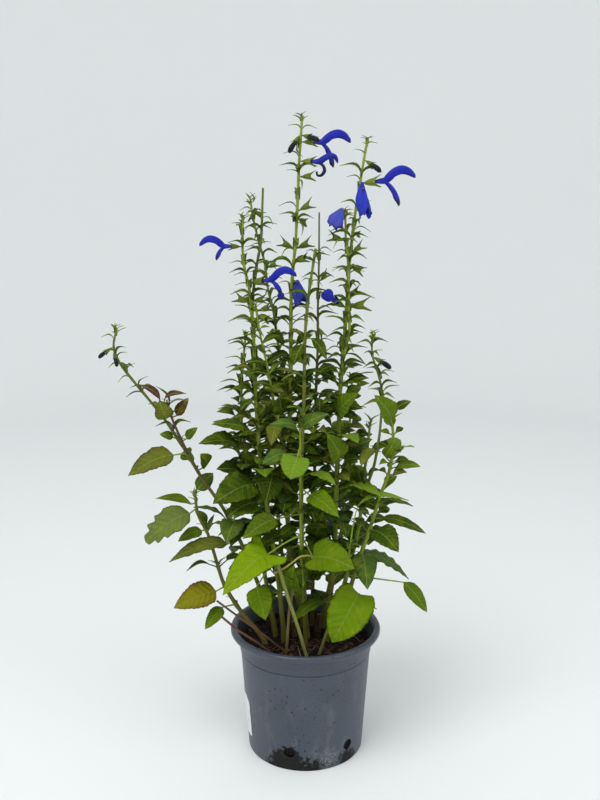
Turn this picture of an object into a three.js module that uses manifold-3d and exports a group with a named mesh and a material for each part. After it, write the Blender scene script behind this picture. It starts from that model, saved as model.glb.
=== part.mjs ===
// Potted gentian sage: a nursery pot of bark compost with square sage stems, leaves, calyces and blue blooms.
// Sizes are in millimetres, Z is up, the pot stands on z = 0 and its axis is the Z axis.

import * as THREE from "three";
import { mergeVertices } from "three/addons/utils/BufferGeometryUtils.js";
import Module from "manifold-3d";

const wasm = await Module();
wasm.setup();

// Driving dimensions of the pot
const FOOT_RADIUS = 65.7;
const WALL = 1.4;
const FLOOR = 2;
const WALL_LEAN = 0.0696;
const GROOVE_HEIGHT = 117;
const LIP_RADIUS = 85;
const POT_HEIGHT = 144.4;
const POT_SIDES = 32;
const DRAIN_HOLES = 6;
const DRAIN_RADIUS = 6.2;
const DRAIN_HEIGHT = 22;
const DRAIN_TURN = -105.6;
const GAP = 0.35;

// Driving dimensions of the compost
const SOIL_HEIGHT = 127;
const HOLE_FLOOR = 104;
const STEM_FOOT = 106;
const CHIPS = 7;

// Half the side of a square stem as a share of its radius, and the radius of an old stub
const STEM_FLAT = 0.82;
const STUB_RADIUS = 4;

// Each stem: name, parent stem or null, foot radius, tip radius, and its points from the foot up
const STEMS = [
  ["tall_centre", null, 3.3, 1.2, [[-2, 19, 106], [-2, 19, 134], [-18, 12, 216], [-21, 8, 286],
    [-18, 6, 368],
    [-17, 6, 403], [-16, 6, 458], [-16, 6, 506], [-14, 5, 544], [-11, 5, 569], [-9, 4, 608], [-7, 3, 657],
    [-5, 2, 685], [-4, 2, 700]]],
  ["tall_right", null, 3.4, 1.2, [[20, 24, 106], [20, 24, 134], [34, 16, 214], [34, 10, 288], [36, 6, 358],
    [38, 4, 426], [42, 3, 480], [44, 2, 513], [46, 0, 555], [51, -2, 601], [56, -4, 635], [61, -4, 667],
    [63, -4, 676]]],
  ["left", null, 3.2, 1.1, [[-24, -14, 106], [-24, -14, 134], [-30, -12, 200], [-40, -10, 270],
    [-50, -8, 340],
    [-54, -6, 406], [-55, -6, 465], [-57, -6, 492], [-59, -8, 524], [-65, -12, 550], [-66, -14, 569],
    [-65, -14, 598]]],
  ["left_outer", null, 2.8, 1.1, [[-34, 0, 106], [-34, 0, 134], [-46, 4, 200], [-56, 6, 280], [-66, 8, 340],
    [-71, 8, 380], [-70, 10, 429], [-65, 10, 474]]],
  ["cut_centre", null, 3.0, 1.4, [[2, -6, 106], [2, -6, 134], [-4, -12, 220], [-5, -14, 330],
    [-2, -14, 408],
    [-1, -14, 478], [3, -14, 522], [10, -14, 567]]],
  ["thin_cut", null, 2.6, 0.9, [[8, 36, 106], [8, 36, 134], [9, 26, 210], [10, 12, 310], [11, 8, 403],
    [13, 8, 460], [13, 8, 506], [14, 8, 550], [14, 8, 604]]],
  ["right_outer", null, 3.0, 1.3, [[38, 4, 106], [38, 4, 134], [59, -1, 219], [72, -5, 261], [83, -9, 303],
    [90, -11, 322], [93, -12, 335], [95, -13, 361], [93, -14, 383]]],
  ["right_inner", null, 3.2, 1.3, [[34, 26, 106], [34, 26, 134], [57, 16, 235], [62, 12, 264],
    [62, 11, 282],
    [64, 10, 303], [66, 10, 324], [69, 10, 349], [71, 10, 375]]],
  ["lateral", null, 2.7, 1.0, [[-36, 16, 106], [-36, 16, 134], [-68, -4, 234], [-89, -11, 283],
    [-114, -17, 323],
    [-127, -20, 349], [-138, -21, 367], [-149, -22, 386], [-162, -23, 404], [-176, -24, 422],
      [-185, -25, 434],
    [-195, -25, 447], [-201, -26, 461], [-202, -26, 469], [-197, -26, 484]]],
  ["left_short", null, 2.8, 1.3, [[-44, -20, 106], [-44, -20, 133], [-57, -12, 144], [-77, -10, 169],
    [-92, -12, 197], [-101, -13, 232], [-108, -14, 259], [-119, -14, 277], [-121, -14, 304]]],
  ["young", null, 2.2, 1.0, [[0, -26, 106], [0, -26, 134], [-4, -30, 200], [-6, -34, 300], [-6, -38, 386]]],
  ["low_right", null, 2.6, 1.2, [[24, -14, 106], [24, -14, 134], [36, -22, 180], [46, -28, 216],
    [48, -32, 250]]],
  ["back_left", null, 2.8, 1.1, [[-14, 46, 106], [-14, 46, 134], [-30, 58, 220], [-36, 62, 320],
    [-38, 62, 440]]],
  ["back_right", null, 2.8, 1.1, [[26, 48, 106], [26, 48, 134], [42, 60, 220], [50, 64, 320],
    [54, 62, 420]]],
  ["left_crossing", "tall_centre", 1.7, 1.0, [[-17, 6, 398], [-22, 8, 414], [-29, 12, 457], [-35, 16, 501],
    [-41, 18, 522], [-44, 20, 552], [-51, 21, 575], [-57, 22, 601], [-59, 22, 618]]],
  ["left_inner", "tall_centre", 1.7, 1.0, [[-20, 7, 326], [-28, -2, 366], [-35, -8, 406], [-42, -18, 451],
    [-49, -24, 484], [-52, -26, 510]]],
  ["right_centre", "tall_right", 1.6, 1.1, [[38, 4, 436], [47, -4, 481], [45, -10, 514], [44, -16, 553],
    [41, -18, 576], [40, -20, 604]]],
  ["left_cut", "left", 1.7, 1.2, [[-57, -6, 494], [-56, -2, 520], [-53, 2, 544], [-47, 6, 575],
    [-45, 8, 629]]],
  ["right_small", "right_inner", 1.9, 0.9, [[62, 11, 284], [68, 7, 304], [76, 2, 330], [81, -2, 367],
    [82, -4, 388], [83, -6, 408], [80, -8, 428], [71, -11, 452], [69, -12, 466], [72, -12, 476]]],
  ["side", "lateral", 1.6, 1.0, [[-127, -20, 349], [-134, -27, 370], [-141, -32, 389], [-145, -34, 408]]],
];

// Each small sprig: stem, height, kind, angle in the front view, lean towards the front, length
const SPRIGS = [
  ["tall_centre", 694, "bract", 112, 10, 10], ["tall_centre", 694, "bract", 64, -20, 9],
  ["tall_centre", 684, "bract", 151, 5, 14], ["tall_centre", 684, "bract", 16, -10, 16],
  ["tall_centre", 683, "bud", 234, 10, 0.74], ["tall_centre", 682, "bud", 342, 36, 0.78],
  ["tall_centre", 675, "calyx", 1, -8, 1], ["tall_centre", 673, "bract", 281, 20, 13],
  ["tall_centre", 657, "bract", 159, 5, 17], ["tall_centre", 656, "calyx", 257, 30, 0.62],
  ["tall_centre", 656, "calyx", -3, 16, 1], ["tall_centre", 638, "bract", 143, 10, 14],
  ["tall_centre", 640, "calyx", 4, -10, 1], ["tall_centre", 637, "bract", 289, 30, 11],
  ["tall_centre", 606, "bract", 167, -10, 19], ["tall_centre", 606, "calyx", 244, 40, 0.75],
  ["tall_centre", 605, "calyx", 28, 5, 1.1], ["tall_centre", 598, "calyx", -24, -44, 0.9],
  ["tall_centre", 594, "bract", 291, 15, 14], ["tall_centre", 566, "calyx", 153, 5, 1.1],
  ["tall_centre", 566, "calyx", 24, 5, 1.15], ["tall_centre", 564, "bract", 205, 25, 17],
  ["tall_centre", 552, "calyx", 20, 20, 1],
  ["tall_centre", 535, "calyx", 304, 56, 0.76],
  ["tall_centre", 524, "bract", 160, 20, 17], ["tall_centre", 504, "bract", 140, 10, 13],
  ["tall_centre", 503, "bract", 5, -30, 15],
  ["tall_right", 672, "bract", 118, 0, 9], ["tall_right", 672, "bract", 60, 10, 9],
  ["tall_right", 667, "bract", 28, -10, 13],
  ["tall_right", 657, "bract", 133, 0, 13], ["tall_right", 657, "bud", -34, 25, 0.74],
  ["tall_right", 634, "bract", 158, 0, 14], ["tall_right", 633, "calyx", 7, 0, 1.2],
  ["tall_right", 630, "calyx", 300, 60, 0.8], ["tall_right", 583, "bract", 2, 0, 18],
  ["tall_right", 583, "calyx", -12, -50, 0.7], ["tall_right", 562, "calyx", 33, 0, 1],
  ["tall_right", 548, "calyx", -20, -10, 1], ["tall_right", 533, "bract", 30, 0, 19],
  ["tall_right", 518, "calyx", 24, -5, 0.9],
  ["tall_right", 505, "calyx", 8, 4, 1.45], ["tall_right", 504, "calyx", 148, 30, 1.1],
  ["tall_right", 503, "lance", 184, 50, 30], ["tall_right", 484, "lance", 152, 30, 28],
  ["tall_right", 484, "bract", 20, -20, 20], ["tall_right", 470, "calyx", 40, -20, 1],
  ["tall_right", 455, "bract", 178, 30, 24],
  ["tall_right", 453, "lance", -20, 20, 26],
  ["right_centre", 600, "bract", 112, 0, 8], ["right_centre", 600, "bract", 55, 0, 8],
  ["right_centre", 596, "bract", 28, 10, 12], ["right_centre", 597, "calyx", 182, 44, 0.6],
  ["right_centre", 575, "calyx", 164, 10, 1.1], ["right_centre", 574, "bract", 206, 30, 16],
  ["right_centre", 559, "bract", 166, 0, 15],
  ["right_centre", 540, "bract", 165, 20, 18],
  ["left", 594, "bract", 120, 0, 9], ["left", 594, "bract", 62, 0, 9], ["left", 586, "bract", 148, 5, 12],
  ["left", 586, "bract", 45, 5, 11], ["left", 582, "calyx", 268, 30, 0.6],
  ["left", 569, "calyx", 178, 0, 0.82],
  ["left", 546, "bract", 160, 0, 16], ["left", 546, "bract", 24, 5, 14],
  ["left", 536, "bract", 166, 10, 13], ["left", 524, "bract", 162, 5, 15],
  ["left", 531, "calyx", 10, 14, 1.25],
  ["left", 510, "calyx", 158, 10, 1.1], ["left", 512, "calyx", 8, -14, 1],
  ["left", 499, "lance", 152, 10, 19],
  ["left", 487, "lance", 158, 10, 16],
  ["left", 455, "bract", 165, -10, 18],
  ["left_cut", 560, "bract", 150, -10, 16], ["left_cut", 598, "bract", 330, 10, 12],
  ["left_crossing", 614, "bract", 92, 0, 10], ["left_crossing", 612, "bract", 50, 0, 8],
  ["left_crossing", 605, "bract", 176, 0, 12],
  ["left_crossing", 605, "calyx", 262, 10, 0.6], ["left_crossing", 606, "calyx", -24, -16, 0.85],
  ["left_crossing", 588, "bract", 196, 0, 11],
  ["left_crossing", 566, "bract", 162, -20, 11], ["left_crossing", 566, "bract", 32, 0, 12],
  ["left_crossing", 545, "calyx", 24, 0, 0.95],
  ["left_crossing", 544, "bract", -8, -20, 13],
  ["left_crossing", 507, "bract", 30, 0, 14], ["left_crossing", 504, "bract", 150, 0, 16],
  ["left_crossing", 488, "bract", 3, 10, 15], ["left_crossing", 487, "lance", 176, 20, 24],
  ["left_crossing", 460, "lance", 20, 10, 22],
  ["left_inner", 503, "calyx", 20, 10, 1], ["left_inner", 500, "calyx", -20, 30, 0.9],
  ["left_inner", 462, "lance", 14, 20, 22], ["left_inner", 458, "lance", 160, 30, 22],
  ["left_inner", 428, "lance", 150, 30, 24],
  ["cut_centre", 561, "bract", 160, 10, 9], ["cut_centre", 560, "bract", 20, 20, 10],
  ["cut_centre", 533, "bract", 176, 20, 9], ["cut_centre", 531, "bract", -10, 30, 14],
  ["cut_centre", 502, "lance", 150, 40, 14],
  ["thin_cut", 563, "bract", 2, -10, 13],
  ["thin_cut", 531, "calyx", 44, -10, 0.9],
  ["thin_cut", 514, "bract", 10, -30, 14],
  ["thin_cut", 500, "bract", 0, -20, 16], ["thin_cut", 484, "calyx", 300, 10, 0.8],
  ["thin_cut", 462, "bract", 14, -20, 18],
  ["thin_cut", 438, "lance", 20, -20, 22],
  ["right_small", 474, "bract", 60, 0, 9], ["right_small", 474, "bract", 110, 0, 8],
  ["right_small", 466, "bract", 35, 10, 12],
  ["right_small", 454, "bud", -30, 10, 0.76], ["right_small", 452, "bract", 38, 0, 13],
  ["right_small", 430, "bract", 24, 0, 16],
  ["right_small", 412, "lance", 30, 10, 20],
  ["right_small", 410, "lance", 150, 20, 18],
  ["lateral", 481, "bract", 120, 10, 8], ["lateral", 481, "bract", 60, 0, 9],
  ["lateral", 474, "bract", 170, 10, 12],
  ["lateral", 466, "bud", 214, 20, 0.6], ["lateral", 462, "bud", 290, 34, 0.6],
  ["lateral", 452, "bract", 40, 0, 12],
  ["lateral", 446, "bract", 190, 10, 12], ["lateral", 436, "bract", 60, 10, 14],
  ["lateral", 432, "bract", 196, 0, 14],
  ["lateral", 420, "bract", 62, 10, 16], ["lateral", 416, "lance", 190, 10, 18],
  ["side", 404, "lance", 120, 0, 24], ["side", 404, "lance", 18, 10, 22],
  ["young", 382, "bract", 100, 0, 12], ["young", 382, "bract", 70, 20, 10],
  ["left_outer", 470, "bract", 110, 0, 10], ["left_outer", 470, "bract", 60, 0, 10],
  ["left_outer", 462, "bract", 165, 0, 18],
  ["left_outer", 440, "bract", 155, 0, 20], ["left_outer", 438, "lance", 20, -20, 20],
  ["left_outer", 418, "lance", 165, 20, 24], ["left_outer", 416, "lance", 20, -30, 20],
  ["right_outer", 380, "bract", 100, 0, 10], ["right_outer", 380, "bract", 60, 0, 10],
  ["right_inner", 372, "lance", 110, 0, 16], ["right_inner", 372, "lance", 50, 0, 18],
];

// Each bloom: name, stem and height of the calyx that holds it, scale, and its state
const BLOOMS = [
  ["bloom_top", "tall_centre", 675, 1.06, "open"],
  ["bloom_fading", "tall_centre", 656, 0.9, "curled"],
  ["bloom_right", "tall_right", 633, 1.12, "open"],
  ["bloom_right_hanging", "tall_right", 630, 0.8, "open"],
  ["bloom_right_centre", "right_centre", 597, 0.54, "open"],
  ["bloom_left", "left", 569, 0.9, "open"],
  ["bloom_middle", "left", 531, 0.98, "open"],
  ["bloom_middle_hanging", "tall_centre", 535, 0.7, "open"],
  ["bloom_rolled", "tall_right", 504, 0.55, "curled"],
];

// Each large leaf: stem, height of its foot, blade base, blade tip, width, form, tilt towards the front
const LEAVES = [
  ["young", 262, [-40, -56, 249], [-85, -98, 221], 44, "hastate", 0.9],
  ["left_short", 194, [-100, -16, 190], [-145, -34, 178], 30, "ovate", 1.2],
  ["left_short", 172, [-93, -18, 172], [-111, -34, 153], 16, "small", 1.2],
  ["left", 226, [-53, -46, 208], [-43, -64, 178], 27, "ovate", 1.6],
  ["young", 286, [-32, -42, 283], [-66, -64, 269], 24, "ovate", 0.9],
  ["lateral", 276, [-76, -32, 277], [-84, -58, 262], 26, "ovate", 0.8],
  ["lateral", 250, [-86, -18, 246], [-148, -38, 233], 21, "ovate", 0.5],
  ["left_short", 262, [-114, -16, 261], [-139, -28, 253], 16, "small", 0.8],
  ["left_short", 286, [-126, -22, 283], [-173, -36, 255], 33, "ragged", 1.2],
  ["left_short", 292, [-126, -14, 291], [-164, -16, 298], 11, "lance", 0.8],
  ["left_short", 301, [-118, -14, 307], [-95, -16, 321], 18, "small", 1],
  ["lateral", 350, [-141, -28, 350], [-188, -42, 331], 26, "ovate", 1],
  ["lateral", 338, [-126, -22, 342], [-146, -10, 349], 16, "small", 1],
  ["side", 396, [-146, -38, 392], [-152, -44, 413], 20, "small", 3],
  ["side", 392, [-136, -32, 394], [-124, -26, 412], 12, "small", 1.6],
  ["lateral", 366, [-142, -22, 368], [-156, -24, 372], 11, "small", 1],
  ["lateral", 362, [-128, -20, 366], [-116, -18, 378], 11, "small", 1],
  ["left_outer", 352, [-74, -4, 354], [-114, -30, 363], 24, "ovate", 0.7],
  ["lateral", 330, [-106, -24, 338], [-112, -34, 353], 18, "small", 1],
  ["left", 376, [-62, -20, 374], [-99, -38, 386], 18, "small", 0.7],
  ["tall_centre", 390, [-31, -2, 388], [-36, -14, 412], 23, "obovate", 2],
  ["left", 396, [-50, -16, 390], [-42, -24, 402], 11, "small", 1.5],
  ["young", 382, [-10, -42, 384], [-37, -60, 391], 14, "small", 1],
  ["young", 382, [-3, -42, 384], [23, -56, 401], 17, "small", 1.2],
  ["young", 362, [-9, -52, 354], [-16, -72, 336], 31, "round", 1.6],
  ["young", 352, [-20, -46, 356], [-45, -64, 350], 19, "small", 0.8],
  ["young", 316, [4, -46, 311], [34, -74, 296], 22, "ovate", 1],
  ["cut_centre", 252, [8, -54, 244], [51, -72, 239], 38, "round", 0.9],
  ["low_right", 206, [57, -48, 201], [28, -64, 152], 44, "round", 1.8],
  ["low_right", 214, [110, -12, 199], [136, -18, 166], 17, "small", 1.2],
  ["right_outer", 258, [76, -24, 264], [99, -50, 249], 28, "ovate", 0.8],
  ["right_outer", 272, [84, -12, 274], [132, -20, 259], 14, "small", 0.8],
  ["right_inner", 284, [68, 0, 281], [95, -10, 290], 14, "small", 0.8],
  ["low_right", 246, [56, -26, 292], [111, -30, 300], 12, "lance", 0.2],
  ["right_outer", 330, [98, -18, 334], [122, -34, 339], 14, "small", 0.8],
  ["right_outer", 338, [86, -22, 346], [94, -32, 366], 13, "small", 1.4],
  ["tall_right", 386, [35, -2, 387], [56, -20, 416], 26, "ovate", 1],
  ["right_outer", 378, [90, -28, 388], [71, -42, 418], 24, "ovate", 1.2],
  ["right_outer", 380, [98, -6, 396], [114, -4, 404], 11, "small", 1],
  ["tall_right", 342, [36, -18, 343], [22, -34, 375], 26, "ovate", 1.2],
  ["tall_right", 336, [48, 2, 346], [72, -8, 362], 21, "ovate", 1],
  ["tall_right", 300, [50, 6, 306], [46, -2, 336], 21, "ovate", 2],
  ["tall_centre", 407, [-12, 2, 412], [10, -8, 441], 19, "small", 1],
  ["tall_centre", 407, [-22, 12, 411], [-43, 14, 433], 15, "small", 1],
  ["left_outer", 322, [-70, -4, 321], [-96, -26, 334], 26, "ovate", 0.8],
  ["left", 318, [-58, -22, 316], [-104, -42, 303], 38, "ovate", 0.9],
  ["left", 296, [-54, -28, 297], [-82, -48, 289], 31, "ovate", 0.9],
  ["left", 334, [-38, -22, 326], [-48, -40, 300], 29, "ovate", 1.4],
  ["tall_centre", 286, [-16, 0, 292], [-34, -4, 320], 26, "ovate", 1.4],
  ["thin_cut", 240, [12, 10, 244], [20, -4, 279], 27, "ovate", 1.4],
  ["cut_centre", 184, [-8, -26, 190], [-2, -44, 232], 27, "ovate", 2],
  ["cut_centre", 474, [-3, -18, 468], [-13, -22, 446], 12, "lance", 1],
  ["cut_centre", 474, [6, -18, 474], [22, -24, 452], 12, "lance", 1],
  ["tall_centre", 458, [-24, 4, 464], [-42, 2, 478], 12, "lance", 0.8],
  ["tall_centre", 458, [-10, 8, 464], [8, 14, 474], 11, "lance", 0.8],
];

// Leafy stretches: stem, lowest and highest height, spacing of the leaf pairs,
// leaf lengths at both ends, first angle
const WHORLS = [
  ["tall_centre", 236, 330, 47, 58, 44, 20], ["tall_centre", 436, 484, 48, 28, 22, 60],
  ["tall_right", 240, 424, 60, 58, 34, 70], ["left", 262, 424, 54, 54, 34, 10],
  ["left_outer", 262, 396, 60, 48, 32, 50], ["cut_centre", 250, 432, 70, 50, 30, 60],
  ["thin_cut", 262, 424, 70, 50, 28, 30], ["right_outer", 228, 344, 58, 48, 34, 80],
  ["right_inner", 240, 344, 70, 50, 36, 20], ["right_small", 346, 390, 60, 32, 24, 40],
  ["lateral", 214, 314, 60, 46, 36, 100], ["left_short", 214, 262, 46, 34, 28, 30],
  ["young", 226, 330, 60, 40, 32, 90], ["low_right", 172, 232, 58, 40, 34, 10],
  ["back_left", 188, 404, 64, 58, 32, 52], ["back_right", 196, 390, 62, 60, 32, 0],
  ["left_crossing", 440, 446, 34, 28, 26, 60], ["left_inner", 374, 400, 44, 34, 28, 80],
];

// Outlines of the leaf forms: place along the blade, half width share, and how far the edge runs ahead
const FORMS = {
  ovate: { edge: [[0, 0.05, 0], [0.07, 0.66, 0], [0.26, 1, 0.01], [0.46, 0.97, 0.02], [0.65, 0.74, 0.03],
    [0.84, 0.38, 0.02]], tooth: 0.09, arch: 0.1, fold: 0.24, thick: 1.3, sides: 4 },
  hastate: { edge: [[0, 0.05, 0], [0.05, 0.96, -0.15], [0.15, 0.9, -0.02], [0.29, 0.84, 0.02],
  [0.44, 0.75, 0.03],
    [0.59, 0.6, 0.03], [0.75, 0.42, 0.03], [0.88, 0.21, 0.02]],
      tooth: 0.08, arch: 0.12, fold: 0.2, thick: 1.4,
    sides: 4 },
  round: { edge: [[0, 0.06, 0], [0.06, 0.62, -0.05], [0.2, 0.95, 0], [0.38, 1, 0.02], [0.56, 0.95, 0.02],
    [0.73, 0.77, 0.03], [0.88, 0.46, 0.02]], tooth: 0.07, arch: 0.12, fold: 0.2, thick: 1.3, sides: 4 },
  obovate: { edge: [[0, 0.06, 0], [0.2, 0.4, 0], [0.42, 0.76, 0], [0.64, 1, 0.02], [0.84, 0.8, 0.02]],
    tooth: 0.06, arch: 0.1, fold: 0.2, thick: 1.3, sides: 4 },
  ragged: { edge: [[0, 0.06, 0], [0.1, 0.6, 0], [0.22, 0.98, 0.04], [0.33, 0.62, -0.02], [0.46, 0.98, 0.06],
    [0.58, 0.5, -0.02], [0.7, 0.76, 0.08], [0.82, 0.34, 0]],
      tooth: 0, arch: 0.1, fold: 0.18, thick: 1.2, sides: 4 },
  small: { edge: [[0, 0.08, 0], [0.09, 0.66, 0], [0.32, 1, 0], [0.6, 0.8, 0.02], [0.84, 0.4, 0.02]],
    tooth: 0.06, arch: 0.1, fold: 0.06, thick: 1.5, sides: 3 },
  lance: { edge: [[0, 0.2, 0], [0.3, 1, 0], [0.68, 0.74, 0]],
  tooth: 0, arch: 0.13, fold: 0.06, thick: 1.4, sides: 3 },
  bract: { edge: [[0.02, 0.8, 0], [0.5, 1, 0]], tooth: 0, arch: 0.16, fold: 0, thick: 1.4, sides: 3 },
};

const vector = (x, y, z) => new THREE.Vector3(x, y, z);
const radians = (degrees) => (degrees * Math.PI) / 180;

// A repeatable number from 0 to 1 for any two whole numbers
function chance(a, b) {
  const wave = Math.sin(a * 12.9898 + b * 78.233) * 43758.5453;
  return wave - Math.floor(wave);
}

// A closed solid from points and triangles
function solid(points, triangles) {
  return new wasm.Manifold(new wasm.Mesh({
    numProp: 3,
    vertProperties: new Float32Array(points.flatMap((p) => [p.x, p.y, p.z])),
    triVerts: new Uint32Array(triangles.flat()),
  }));
}

// A closed solid from a three.js geometry
function solidFrom(geometry) {
  geometry.deleteAttribute("normal");
  geometry.deleteAttribute("uv");
  const merged = mergeVertices(geometry, 1e-4);
  return new wasm.Manifold(new wasm.Mesh({
    numProp: 3,
    vertProperties: new Float32Array(merged.attributes.position.array),
    triVerts: new Uint32Array(merged.index.array),
  }));
}

// Rings of equal count joined into one body, closed by flat ends or by a point at the far end
function loft(rings, tip) {
  const count = rings[0].length;
  const points = rings.flat();
  const triangles = [];
  for (let i = 0; i + 1 < rings.length; i++) {
    for (let j = 0; j < count; j++) {
      const near = i * count + j;
      const side = i * count + ((j + 1) % count);
      if (j % 2 === 0) {
        triangles.push([near, side, side + count], [near, side + count, near + count]);
      } else {
        triangles.push([near, side, near + count], [side, side + count, near + count]);
      }
    }
  }
  const last = (rings.length - 1) * count;
  for (let j = 1; j + 1 < count; j++) {
    const a = (1 + j) % count;
    const b = (2 + j) % count;
    triangles.push([1, b, a]);
    if (!tip) triangles.push([last + 1, last + a, last + b]);
  }
  if (tip) {
    points.push(tip);
    for (let j = 0; j < count; j++) {
      triangles.push([last + j, last + ((j + 1) % count), points.length - 1]);
    }
  }
  return solid(points, triangles);
}

// Ring of four points round a centre: left, top, right, bottom
function ring(centre, right, up, halfWidth, halfHeight) {
  return [
    centre.clone().addScaledVector(right, -halfWidth),
    centre.clone().addScaledVector(up, halfHeight),
    centre.clone().addScaledVector(right, halfWidth),
    centre.clone().addScaledVector(up, -halfHeight),
  ];
}

// Ring of three points with a flat under side: left, top, right
function wedgeRing(centre, right, up, halfWidth, height) {
  return [
    centre.clone().addScaledVector(right, -halfWidth),
    centre.clone().addScaledVector(up, height),
    centre.clone().addScaledVector(right, halfWidth),
  ];
}

// The centre of a stem at a height
function stemPoint(name, height) {
  const points = STEMS.find((row) => row[0] === name)[4];
  let i = 0;
  while (i + 2 < points.length && points[i + 1][2] < height) i++;
  const [a, b] = [points[i], points[i + 1]];
  const share = (height - a[2]) / (b[2] - a[2]);
  return vector(a[0] + (b[0] - a[0]) * share, a[1] + (b[1] - a[1]) * share, height);
}

// A square stem along its points, thinning towards the tip, with its flats to the front and the sides
function stemSolid([, , footRadius, tipRadius, points]) {
  const places = points.map((p) => vector(...p));
  const rise = places[places.length - 1].z - places[0].z;
  const rings = places.map((place, i) => {
    const before = places[Math.max(0, i - 1)];
    const after = places[Math.min(places.length - 1, i + 1)];
    const along = after.clone().sub(before).normalize();
    const right = vector(0, 1, 0).cross(along).normalize();
    const up = right.clone().cross(along);
    const share = (place.z - places[0].z) / rise;
    const half = (footRadius + (tipRadius - footRadius) * share) * STEM_FLAT;
    return [[-1, 1], [1, 1], [1, -1], [-1, -1]].map(([a, b]) => place.clone()
      .addScaledVector(right, a * half).addScaledVector(up, b * half));
  });
  return loft(rings);
}

// The rings of a leaf: a stalk out of the stem, then a blade with a raised rib and toothed edges
function leafRings(root, base, tip, width, formName, hint) {
  const form = FORMS[formName];
  const along = tip.clone().sub(base);
  const length = along.length();
  along.normalize();
  const up = hint.clone().addScaledVector(along, -hint.dot(along)).normalize();
  const right = along.clone().cross(up);
  const rings = [];
  const stalk = base.clone().sub(root);
  const stalkLength = stalk.length();
  if (stalkLength > 2) {
    stalk.normalize();
    const stalkRight = stalk.clone().cross(up).normalize();
    const stalkUp = stalkRight.clone().cross(stalk);
    const makeRing = form.sides === 4 ? ring : wedgeRing;
    rings.push(makeRing(root, stalkRight, stalkUp, 0.9, form.sides === 4 ? 0.9 : 1.3));
    if (stalkLength > 28) {
      const middle = root.clone().lerp(base, 0.5).addScaledVector(stalkUp, stalkLength * 0.07);
      rings.push(makeRing(middle, stalkRight, stalkUp, 0.9, form.sides === 4 ? 0.9 : 1.3));
    }
  }
  form.edge.forEach(([place, share, ahead], k) => {
    const lift = form.arch * length * Math.sin(Math.PI * place);
    const centre = base.clone().addScaledVector(along, place * length).addScaledVector(up, lift);
    const cut = k % 2 === 1 && k > 1 ? 1 - form.tooth : 1;
    const half = Math.max(0.8, (width / 2) * share * cut);
    const wave = form.sides === 4 ? 0.1 * Math.sin(2.3 * k + width) : 0;
    const section = form.sides === 4
      ? ring(centre, right, up, half, form.thick / 2)
      : wedgeRing(centre, right, up, half, form.thick);
    section[0].addScaledVector(along, ahead * length).addScaledVector(up, half * (form.fold + wave));
    section[2].addScaledVector(along, ahead * length).addScaledVector(up, half * (form.fold - wave));
    rings.push(section);
  });
  return rings;
}

// A calyx: a thin stalk, a bell, and an upper and a lower lip round a hollow mouth
const CALYX = [[0, 0, 0.75, 0.75], [18.8, 13, 4.8, 3.2], [13.2, 12.2, 2.3, 1.9]];
const MOUTH = 13.55;

function calyxRings(root, along, up, scale) {
  const right = along.clone().cross(up);
  return CALYX.map(([lipPlace, cornerPlace, lipRadius, cornerRadius]) => {
    const lip = root.clone().addScaledVector(along, lipPlace * scale);
    const corner = root.clone().addScaledVector(along, cornerPlace * scale);
    return [
      corner.clone().addScaledVector(right, -cornerRadius * scale),
      lip.clone().addScaledVector(up, lipRadius * scale),
      corner.clone().addScaledVector(right, cornerRadius * scale),
      lip.clone().addScaledVector(up, -lipRadius * scale),
    ];
  });
}

// Direction of a sprig from its angle in the front view and its lean towards the front
function sprigDirection(angle, lean) {
  const a = radians(angle);
  const b = radians(lean);
  return vector(Math.cos(a) * Math.cos(b), -Math.sin(b), Math.sin(a) * Math.cos(b));
}

// The upward direction square to another direction
function squareUp(along) {
  const hint = Math.abs(along.z) > 0.92 ? vector(along.x > 0 ? -1 : 1, -0.4, 0) : vector(0, 0, 1);
  return hint.addScaledVector(along, -hint.dot(along)).normalize();
}

// Six points round a centre for tubes and hoods
function hexRing(centre, right, up, halfWidth, halfHeight) {
  const points = [];
  for (let j = 0; j < 6; j++) {
    const a = Math.PI - (j * Math.PI) / 3;
    points.push(centre.clone().addScaledVector(right, Math.cos(a) * halfWidth)
      .addScaledVector(up, Math.sin(a) * halfHeight));
  }
  return points;
}

// Courses of the petals in the plane of the bloom: run, rise, half width, half height
const HOOD = [[0, 0, 1.6, 1.6], [3, 0, 2.4, 2.5], [9, 0, 3, 3.5], [13, 2.5, 3, 3.8], [19, 6, 3, 4.1],
  [25, 7.5, 2.9, 4.1], [30, 6, 2.5, 3.6], [35, 1, 1.7, 2.3]];
const LIP = [[8, -0.5, 1.6, 1.6], [13, -6, 2.6, 2.1], [16, -12, 3.8, 2.5], [18, -17.5, 4.8, 2.3],
  [18.8, -22, 4, 1.7], [18.6, -25, 2.4, 1]];
const HOOD_CURLED = [[0, 0, 1.6, 1.6], [3, 0, 2.4, 2.5], [9, 0.5, 3, 3.5], [15, 4, 3, 3.8], [21, 7, 2.8, 3.6],
  [27, 6, 2.3, 2.8], [30, 1, 1.4, 1.6]];
const LIP_CURLED = [[8, -0.5, 1.8, 1.6], [14, -4.5, 2.6, 1.8], [16, -10, 2.6, 1.8], [12, -15, 2.4, 1.7],
  [7.5, -15, 2, 1.4], [6, -11, 1.3, 1]];

// Rings along a course of petal points, square to the course
function courseRings(course, mouth, along, up, scale, makeRing) {
  const right = along.clone().cross(up);
  const places = course.map(([run, rise]) => mouth.clone().addScaledVector(along, run * scale)
    .addScaledVector(up, rise * scale));
  return course.map(([, , halfWidth, halfHeight], i) => {
    const before = places[Math.max(0, i - 1)];
    const after = places[Math.min(places.length - 1, i + 1)];
    const heading = after.clone().sub(before).normalize();
    const lift = right.clone().cross(heading);
    return makeRing(places[i], right, lift, halfWidth * scale, halfHeight * scale);
  });
}

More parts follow.
